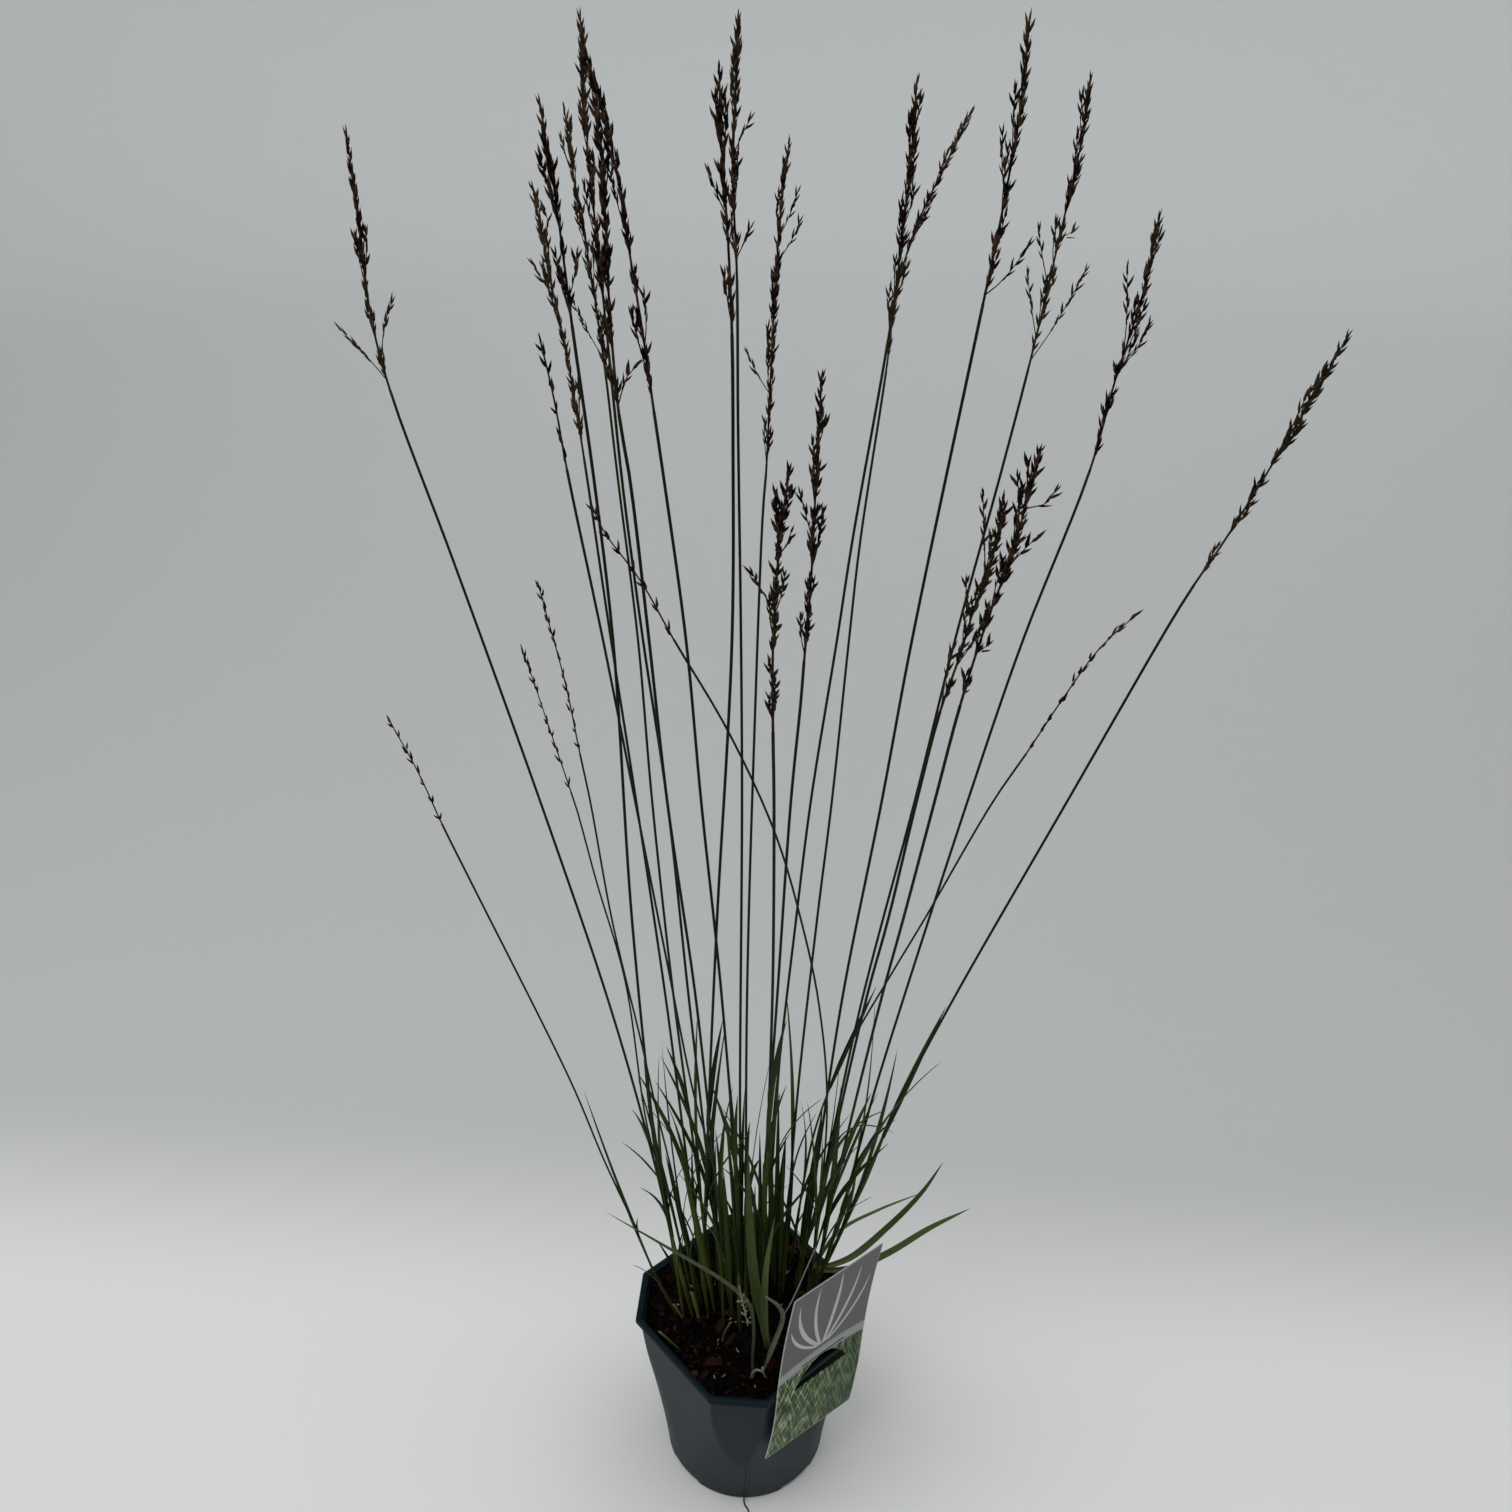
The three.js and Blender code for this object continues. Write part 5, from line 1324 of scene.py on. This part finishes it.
def crumbly_compost():
    """Nearly black crumbs with reddish fibres, darker than the compost's own colour as painted shade for the
    shade in the pot.
    """
    finish = Finish("crumbly_compost")
    place = finish.place()
    clumps = finish.cloud(place, 130, 5, 0.65)
    crumbs = finish.cloud(place, 620, 4, 0.7)
    # Painted shade: these crumb tones are kept darker than real compost.
    colour = finish.mixed(finish.rise(clumps, 0.42, 0.7), (0.0006, 0.0003, 0.0002), (0.0034, 0.0014, 0.0009))
    fibres = finish.rise(finish.cloud(finish.stretched(place, (1, 6, 1), (0, 0, 0.6)), 700, 2), 0.62, 0.7)
    colour = finish.mixed(fibres * 0.35, colour, (0.020, 0.008, 0.005))
    return finish.painted(colour=colour, roughness=0.85,
                          normal=finish.bump(clumps * 0.5 + crumbs * 0.5, 0.9, 0.003), specular=0.03)


def bark():
    """Bark: most flakes nearly black, some reddish brown, all darker than their own colour as painted shade
    for the shade in the pot.
    """
    finish = Finish("bark")
    place = finish.place()
    tone = finish.tone()
    ridges = finish.cloud(finish.stretched(place, (1, 5, 1), (0.2, 0, 0.9)), 900, 3)
    # Painted shade: the flake tones are kept darker than real bark.
    colour = finish.mixed(finish.rise(tone, 0.45, 0.95), (0.0008, 0.0004, 0.0003), (0.0180, 0.0050, 0.0028))
    colour = finish.mixed(finish.rise(tone, 0.93, 1.0) * 0.6, colour, (0.060, 0.024, 0.014))
    colour = finish.mixed(finish.rise(ridges, 0.45, 0.7) * 0.6, colour, (0.0016, 0.0007, 0.0005))
    return finish.painted(colour=colour, roughness=0.5 + 0.35 * ridges,
                          normal=finish.bump(ridges, 0.6, 0.001), specular=0.05)


def pale_wood():
    finish = Finish("splinters")
    place = finish.place()
    shade = finish.cloud(place, 240, 2)
    colour = finish.mixed(shade * 0.5 + finish.tone() * 0.5, (0.055, 0.032, 0.020), (0.34, 0.28, 0.21))
    return finish.painted(colour=colour, roughness=0.85, normal=finish.bump(shade, 0.3, 0.001))


def grass_green(name, dark, fresh, foot):
    """Green of stems, sheaths and blades: ribbed along, brownish at the foot, dark on the high stems."""
    finish = Finish(name)
    place = finish.place()
    around, along = finish.parts(finish.along())[:2]
    height = finish.parts(place)[2]
    tone = finish.tone()
    blotches = finish.cloud(finish.stretched(place, (1, 1, 6)), 520, 3)
    ribs, sideways = finish.leaf_marks(around, 14)
    colour = finish.mixed(finish.rise(tone, 0.15, 0.85), dark, fresh)
    colour = finish.mixed(finish.rise(tone, 0.80, 1.0) * 0.6, colour, (0.075, 0.095, 0.016))
    colour = finish.mixed(finish.rise(blotches, 0.45, 0.75) * 0.4, colour, (0.034, 0.054, 0.010))
    colour = finish.mixed((1 - finish.rise(sideways, 0.0, 0.05)) * 0.4, colour, (0.070, 0.100, 0.030))
    colour = finish.mixed(ribs * 0.10, colour, (0.08, 0.11, 0.035))
    colour = finish.mixed(finish.rise(along, 0.9, 1.0) * 0.5, colour, (0.060, 0.045, 0.025))
    colour = finish.mixed((1 - finish.rise(height, 0.150, 0.205)) * 0.75, colour, foot)
    colour = finish.mixed((1 - finish.rise(height, 0.136, 0.158)) * 0.7, colour, (0.040, 0.020, 0.012))
    colour = finish.mixed(finish.rise(height, 0.30, 0.50) * 0.8, colour, (0.0060, 0.0080, 0.0030))
    return finish.painted(
        colour=colour, roughness=0.45 + 0.14 * blotches,
        normal=finish.bump(ribs * 0.6 + blotches * 0.4, 0.25, 0.0004), specular=0.06)


def purple_chaff():
    """Dull purplish brown of the spikelets, with paler tips and greener heads here and there."""
    finish = Finish("purple_chaff")
    place = finish.place()
    along = finish.parts(finish.along())[1]
    spikelets = finish.cloud(place, 260, 2)
    heads = finish.cloud(place, 12, 1)
    colour = finish.mixed(
        finish.rise(spikelets, 0.44, 0.66), (0.0042, 0.0019, 0.0012), (0.058, 0.031, 0.021))
    colour = finish.mixed(finish.rise(heads, 0.48, 0.66) * 0.45, colour, (0.044, 0.034, 0.015))
    colour = finish.mixed(finish.rise(along, 0.72, 1.0) * 0.4, colour, (0.120, 0.070, 0.050))
    colour = finish.mixed((1 - finish.rise(along, 0.0, 0.25)) * 0.4, colour, (0.018, 0.020, 0.008))
    return finish.painted(colour=colour, roughness=0.65,
                          normal=finish.bump(finish.cloud(place, 1500, 2), 0.3, 0.0004), specular=0.05)


def pale_leaf(name, middle, edge, foot):
    """A fading leaf: paler along its edges and its midrib, and spotted."""
    finish = Finish(name)
    place = finish.place()
    around, along = finish.parts(finish.along())[:2]
    ribs, sideways = finish.leaf_marks(around, 10)
    spots = finish.cloud(place, 420, 3)
    colour = finish.mixed(finish.rise(spots, 0.35, 0.7), middle, tuple(1.5 * value for value in middle))
    colour = finish.mixed(finish.rise(sideways, 0.55, 0.95) * 0.8, colour, edge)
    colour = finish.mixed((1 - finish.rise(sideways, 0.0, 0.04)) * 0.6, colour, edge)
    colour = finish.mixed(ribs * 0.2, colour, edge)
    colour = finish.mixed((1 - finish.rise(along, 0.0, 0.12)) * 0.7, colour, foot)
    return finish.painted(colour=colour, roughness=0.6 + 0.1 * ribs,
                          normal=finish.bump(ribs * 0.7 + spots * 0.3, 0.3, 0.0004), specular=0.12)


def arc_centre(foot, tip, radius):
    """The centre of the circle of that radius through two points, on the other side where the
    radius is negative."""
    chord = (tip[0] - foot[0], tip[1] - foot[1])
    half = math.hypot(*chord) / 2
    away = math.copysign(math.sqrt(radius ** 2 - half ** 2) / (2 * half), radius)
    return (foot[0] + tip[0]) / 2 - chord[1] * away, (foot[1] + tip[1]) / 2 + chord[0] * away


def printed_card():
    """A grey field with a white tuft of blades, a white band, and meadow greens below it."""
    finish = Finish("printed_card")
    u, v = finish.parts(finish.along())[:2]
    x = u * CARD_WIDTH
    y = v * CARD_HEIGHT
    flat = finish.node("ShaderNodeCombineXYZ", {}, {0: x, 1: y})
    paper_white = (0.52, 0.53, 0.51)

    tuft = 0
    for foot, tip, radius, width in TUFT_BLADES:
        centre = arc_centre(foot, tip, radius)
        from_centre = ((x - centre[0]) ** 2 + (y - centre[1]) ** 2) ** 0.5
        from_line = finish.maths("ABSOLUTE", from_centre - abs(radius))
        share = (y - foot[1]) / (tip[1] - foot[1])
        form = width * (1 - share) * (0.35 + 1.3 * share) + 0.1
        inside = 1 - finish.rise(from_line - form, -0.2, 0.2)
        ends = finish.rise(y, foot[1], foot[1] + 0.5), 1 - finish.rise(y, tip[1] - 1, tip[1])
        tuft = tuft + inside * ends[0] * ends[1]
    band_middle = 83 + (1 - ((x - 38) / 50) ** 2) * 6
    from_band = finish.maths("ABSOLUTE", y - band_middle)
    band = 1 - finish.rise(from_band, 4.4, 4.8)
    rule = 1 - finish.rise(finish.maths("ABSOLUTE", from_band - 2.9), 0.15, 0.4)
    below = 1 - finish.rise(y - band_middle, -0.3, 0.3)
    leaning = finish.cloud(finish.stretched(flat, (1, 11, 1), (0, 0, -0.5)), 0.60, 3, 0.45)
    crossing = finish.cloud(finish.stretched(flat, (1, 9, 1), (0, 0, 0.35)), 0.46, 3, 0.45)
    tufts = finish.cloud(flat, 0.07, 3)
    light = finish.rise(60 - x * 0.75 + y * 0.1 + tufts * 36, 22, 78)
    meadow = finish.mixed(finish.rise(crossing, 0.42, 0.60), (0.006, 0.018, 0.010), (0.070, 0.125, 0.036))
    meadow = finish.mixed(
        finish.rise(leaning, 0.50, 0.60) * (0.35 + 0.65 * light), meadow, (0.165, 0.245, 0.090))
    meadow = finish.mixed(
        finish.rise(leaning * 0.5 + crossing * 0.5, 0.54, 0.60) * light, meadow, (0.44, 0.50, 0.32))
    field = finish.mixed(finish.cloud(flat, 0.05, 2) * 0.5, (0.110, 0.111, 0.108), (0.150, 0.151, 0.147))
    upper = finish.mixed(finish.rise(tuft, 0.0, 1.0), field, paper_white)
    colour = finish.mixed(below, upper, meadow)
    colour = finish.mixed(band, colour, (0.34, 0.345, 0.34))
    colour = finish.mixed(band * rule * 0.6, colour, (0.12, 0.12, 0.12))
    edge = 1 - finish.rise(finish.maths("MINIMUM", x, CARD_WIDTH - x), 0.3, 0.6)
    foot_edge = 1 - finish.rise(y, 0.5, 1.0)
    top_edge = finish.rise(y, CARD_HEIGHT - 1.2, CARD_HEIGHT - 0.8)
    border = finish.maths("MAXIMUM", finish.maths("MAXIMUM", edge, foot_edge), top_edge * 0.5)
    colour = finish.mixed(border * 0.7, colour, paper_white)
    return finish.painted(colour=colour, roughness=0.4, specular=0.12)


def plain_card(name, tone):
    """One slightly mottled tone."""
    finish = Finish(name)
    mottle = finish.cloud(finish.place(), 300, 3)
    colour = finish.mixed(mottle * 0.3, tone, tuple(0.75 * value for value in tone))
    return finish.painted(
        colour=colour, roughness=0.45, normal=finish.bump(mottle, 0.05, 0.0004), specular=0.3)


# Pieces

def finished(name, bm, materials, slot, *nodes, sharp=None):
    """Turns a mesh in millimetres into a piece in metres that rides with the pot."""
    bmesh.ops.recalc_face_normals(bm, faces=bm.faces)
    bmesh.ops.scale(bm, vec=(MM, MM, MM), verts=bm.verts)
    mesh = mesh_of(bm, name)
    mesh.shade_smooth()
    if sharp:
        mesh.set_sharp_from_angle(angle=math.radians(sharp))
    for material in materials:
        mesh.materials.append(material)
    piece = placed(name, mesh)
    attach(piece, "root")
    if nodes:
        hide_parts(*nodes)
    return piece


def build_pot():
    pot = finished("nursery_pot", make_pot(), [moulded_plastic()], "pot_plastic", "pot")
    cut_notches(pot)
    pot.data.set_sharp_from_angle(angle=math.radians(32))
    finished("compost_bed", make_compost(), [crumbly_compost()], "compost", "soil")
    flakes = bark()
    finished("bark_flakes", make_bark(), [flakes], "compost", sharp=35)
    finished("bark_fibres", make_fibres(), [flakes], "compost")
    finished("pale_splinters", make_splinters(), [pale_wood()], "compost", sharp=35)


def build_label():
    back = plain_card("card_back", (0.10, 0.105, 0.10))
    finished("plant_label", make_card(), [printed_card(), back], "printed_card", "label", sharp=40)
    tongue = plain_card("card_tongue", (0.055, 0.070, 0.070))
    finished("label_tongue", make_tongue(), [tongue], "printed_card", sharp=40)


def places_behind(foot_y, picture_places, depths):
    """The places seen at picture places that stand these depths behind foot_y."""
    return [place_at_depth(p, lambda height, d=d: foot_y + d) for p, d in zip(picture_places, depths)]


def shoot_blades(foot, blades):
    """The blades of a leafy shoot, from its foot through their places to their tips."""
    made = []
    for picture_places, depths, width in blades:
        course = Course.smooth([foot, *places_behind(foot.y, picture_places, depths)])
        middle = course.heading(course.length / 2)
        made.append(Blade(course, 0, width, course.heading(1), side=middle.cross(AHEAD)))
    return made


def build_grass():
    """The stems with their blades and heads, and the shoots, each blade set where there is room."""
    green = grass_green(
        "grass_green", (0.0050, 0.0115, 0.0018), (0.030, 0.056, 0.0080), (0.058, 0.052, 0.016))
    chaff = purple_chaff()
    spikelet = spikelet_shape()
    room = Room()
    stems = [Stem(record, i) for i, record in enumerate(STEMS)]
    for stem in stems:
        room.take(stem.course, stem.number, STEM_ROOM, STEM_ROOM_HEIGHT)
    shoots = {}
    for i, (name, foot_place, blades) in enumerate(SHOOTS):
        foot = place_on_soil(foot_place)
        shoots[name] = (foot, shoot_blades(foot, blades))
        for blade in shoots[name][1]:
            room.take(blade.course, len(STEMS) + i, blade.width / 2)
    for stem in stems:
        given_blades(stem, room)
    random = draws(SEEDS["ruled_blades"])
    for stem in stems:
        ruled_blades(stem, room, random)
    finer = draws(SEEDS["finer_blades"])
    middle = sum((stem.foot for stem in stems), Vector()) / len(stems)
    for stem in stems:
        finer_blade(stem, room, middle, finer)
    bm = new_mesh()
    for blade in basal_blades(stems, room, middle, draws(SEEDS["basal_blades"])):
        add_blade(bm, blade, finer, twist=0.9)
    finished("basal_blades", bm, [green], "foliage")
    for stem in stems:
        random = draws(SEEDS["stems"] + STEM_SEED_STEP * stem.number)
        number = f"{stem.number + 1:02d}"
        bm = new_mesh()
        add_stem(bm, stem, random)
        for blade in stem.blades:
            add_blade(bm, blade, random)
        finished(f"grass_{number}", bm, [green], "foliage", f"culm_{number}")
        bm = new_mesh()
        add_head(bm, spikelet, stem, random)
        finished(f"flower_head_{number}", bm, [chaff], "flower_head", f"panicle_{number}")
    build_shoots(shoots)
    build_front_bits(shoots)


def build_shoots(shoots):
    """The leafy shoots and the withered ones at the front."""
    broad_green = grass_green(
        "broad_green", (0.050, 0.080, 0.024), (0.086, 0.128, 0.042), (0.150, 0.175, 0.080))
    drooping = pale_leaf("drooping_green", (0.036, 0.046, 0.023), (0.140, 0.155, 0.095), (0.20, 0.22, 0.13))
    withered = pale_leaf("withered_green", (0.125, 0.140, 0.084), (0.300, 0.305, 0.235), (0.14, 0.15, 0.09))
    looks = {
        "shoot_right": ("leafy_shoot_right", broad_green, "foliage"),
        "shoot_front": ("leafy_shoot_front", broad_green, "foliage"),
        "shoot_drooping": ("drooping_leaf", drooping, "foliage"),
        "shoot_withered": ("withered_leaf", withered, "straw")}
    straw, curl = shoots["shoot_withered"][1]
    bm = new_mesh()
    rows = evenly(8, straw.course.length, 4)
    round_sleeve(bm, straw.course, rows, 6, [0.62 - 0.2 * d / straw.course.length for d in rows])
    pale_straw = pale_leaf("pale_straw", (0.17, 0.16, 0.15), (0.26, 0.25, 0.24), (0.12, 0.12, 0.09))
    finished("withered_straw", bm, [pale_straw], "straw")
    shoots["shoot_withered"][1].remove(straw)
    curl.foot = 0.5
    curl.tip = 0.85
    for node, (name, finish, slot) in looks.items():
        foot, blades = shoots[node]
        random = draws(SEEDS["shoots"])
        bm = new_mesh()
        for blade in blades:
            add_blade(bm, blade, random, fold=0.4, twist=0.25)
        socket = Course([foot - UP * FOOT_DEPTH, foot + UP * 4])
        round_sleeve(bm, socket, [0, 8, 16], STEM_AROUND, [1.2, 1.5, 1.1])
        finished(name, bm, [finish], slot, node)


def build_front_bits(shoots):
    """Small things at the front: a seed spray, a hooked tip, cut stubs and a root down the pot."""
    random = draws(SEEDS["front_bits"])
    straw = pale_leaf("dry_straw", (0.140, 0.145, 0.085), (0.24, 0.245, 0.16), (0.14, 0.13, 0.08))
    stub_green = pale_leaf("stub_green", (0.070, 0.078, 0.024), (0.110, 0.120, 0.045), (0.060, 0.034, 0.018))
    front = shoots["shoot_drooping"][0].y
    bm = new_mesh()
    seed = spikelet_shape()
    spray = Course.smooth(places_behind(
        front, [(748, 1326), (745, 1313), (742, 1300), (739, 1285)], (-11, -12, -13, -13)))
    rows = evenly(0, spray.length, 3)
    round_sleeve(bm, spray, rows, 5, [0.28] * len(rows))
    for i in range(SPRAY_STALKS):
        distance = spray.length * (0.05 + 0.75 * i / SPRAY_STALKS)
        stalk = aside(spray.heading(distance), math.tau * random(), math.radians(drawn((30, 85), random)))
        end = spray.at(distance) + stalk * drawn((1.0, 3.4), random)
        add_stalk(bm, spray.at(distance), end, 0.97, [0.14, 0.12])
        stamp(bm, seed, end, (stalk + UP * 0.5).normalized(), 1.7, 4, math.tau * random())
    bpy.data.meshes.remove(seed)
    seed_green = pale_leaf("seed_green", (0.16, 0.19, 0.11), (0.32, 0.36, 0.25), (0.10, 0.12, 0.06))
    finished("seed_spray", bm, [seed_green], "straw")
    bm = new_mesh()
    hook = Course.smooth(places_behind(
        front, [(752, 1380), (752.5, 1374), (756.5, 1370), (762, 1371.5), (766, 1378)],
        (-1, -2, -3, -4, -5)))
    rows = evenly(0, hook.length, 1.4)
    round_sleeve(bm, hook, rows, 6, [1.25 - 0.8 * d / hook.length for d in rows])
    finished("hooked_tip", bm, [straw], "straw")
    bm = new_mesh()
    for places, depths, width in (
            ([(679, 1349), (670, 1341), (659.5, 1331.5)], (0, -1, -1), 2.6),
            ([(699.5, 1322), (696, 1307), (691.5, 1292)], (0, 0, 1), 3.2),
            ([(683, 1319), (678, 1311), (673.5, 1304)], (0, 0, 1), 2.8),
            ([(722, 1343), (724, 1334), (731, 1322)], (0, 0, -1), 2.0)):
        stub = Course.smooth(places_behind(place_on_soil(places[0]).y, places, depths))
        rows = evenly(0, stub.length, 2)
        sleeve(bm, stub, [0, *rows, stub.length], 8,
               lambda d: (RIGHT, RIGHT.cross(stub.heading(d)).normalized()),
               lambda row, turn: (0, 0) if row in (0, len(rows) + 1) else (
                   width / 2 * math.cos(turn) * (0.6 + 0.4 * row / len(rows)),
                   BLADE_THICKNESS * math.sin(turn)), random())
    finished("cut_stubs", bm, [stub_green], "foliage")
    bm = new_mesh()
    down_wall = [place_at_depth(p, lambda height: -wall_radius(-math.pi / 2, height) - 0.45)
                 for p in ((748.4, 1457), (747.6, 1470), (746.9, 1482), (745, 1492))]
    down_wall[-1].z = max(down_wall[-1].z, 2.5)
    foot = down_wall[-1]
    on_floor = [Vector((foot.x - 0.6, foot.y - 1.6, 0.9)), Vector((foot.x + 0.4, foot.y - 4.5, 0.7)),
                Vector((foot.x + 3.2, foot.y - 8, 0.7)), Vector((foot.x + 3.8, foot.y - 13, 0.7))]
    root = Course.smooth([*down_wall, *on_floor])
    rows = evenly(0, root.length, 2)
    round_sleeve(bm, root, rows, 6, [0.3 + 0.28 * smooth_share(d, 0, 22) for d in rows])
    finished("loose_root", bm, [plain_card("root_brown", (0.010, 0.008, 0.007))], "straw")


def build_stage():
    """A plain pale floor, darker behind the plant, that curves up all round, far from it."""
    bm = bmesh.new()
    row = [bm.verts.new((x, 0, 0)) for x in (0, 0.6, STAGE_RADIUS)]
    for i in range(1, 13):
        angle = math.pi / 2 * i / 12
        row.append(bm.verts.new((STAGE_RADIUS + STAGE_CURVE * math.sin(angle), 0,
                                 STAGE_CURVE - STAGE_CURVE * math.cos(angle))))
    row.append(bm.verts.new((STAGE_RADIUS + STAGE_CURVE, 0, STAGE_TOP)))
    edges = [bm.edges.new(pair) for pair in zip(row, row[1:])]
    bmesh.ops.spin(bm, geom=row + edges, cent=(0, 0, 0), axis=(0, 0, 1), angle=math.tau, steps=72,
                   use_merge=True)
    bmesh.ops.remove_doubles(bm, verts=bm.verts, dist=1e-5)
    bmesh.ops.recalc_face_normals(bm, faces=bm.faces)
    mesh = mesh_of(bm, "floor")
    mesh.shade_smooth()
    finish = Finish("floor_paint")
    deep = finish.parts(finish.place())[1]
    colour = finish.mixed(finish.rise(deep, 0.06, 0.30), (0.63, 0.635, 0.615), (0.43, 0.435, 0.43))
    colour = finish.mixed(finish.rise(deep, 0.5, 4.2), colour, (0.75, 0.76, 0.75))
    finish.painted(colour=colour, roughness=0.9)
    mesh.materials.append(finish.material)
    floor = placed("floor", mesh)


def soft_light(name, place, aim, size, power):
    lamp = bpy.data.lights.new(name, "AREA")
    lamp.shape = "DISK"
    lamp.size = size
    lamp.energy = power
    light = placed(name, lamp)
    light.location = place
    light.rotation_euler = (Vector(aim) - Vector(place)).to_track_quat("-Z", "Y").to_euler()


def build_lights():
    world = bpy.data.worlds.new("room")
    world.use_nodes = True
    background = world.node_tree.nodes["Background"]
    background.inputs["Color"].default_value = (0.93, 0.96, 1.0, 1)
    background.inputs["Strength"].default_value = 0.62
    bpy.context.scene.world = world
    bpy.context.scene.view_settings.view_transform = "Standard"
    soft_light("window", (-1.0, -0.4, 2.6), (0, 0, 0.2), 2.0, 32)
    soft_light("ceiling", (1.1, 0.3, 3.2), (0.2, 0.2, 0.3), 2.4, 28)


def build_camera():
    data = bpy.data.cameras.new("camera")
    data.sensor_width = 36
    data.lens = 36 * FOCAL / PICTURE
    camera = placed("camera", data)
    turn = Matrix((RIGHT, -DOWN, -AHEAD)).transposed().to_4x4()
    camera.matrix_world = Matrix.Translation(EYE * MM) @ turn
    bpy.context.scene.camera = camera


build_camera()
build_lights()
build_stage()
build_pot()
build_label()
build_grass()
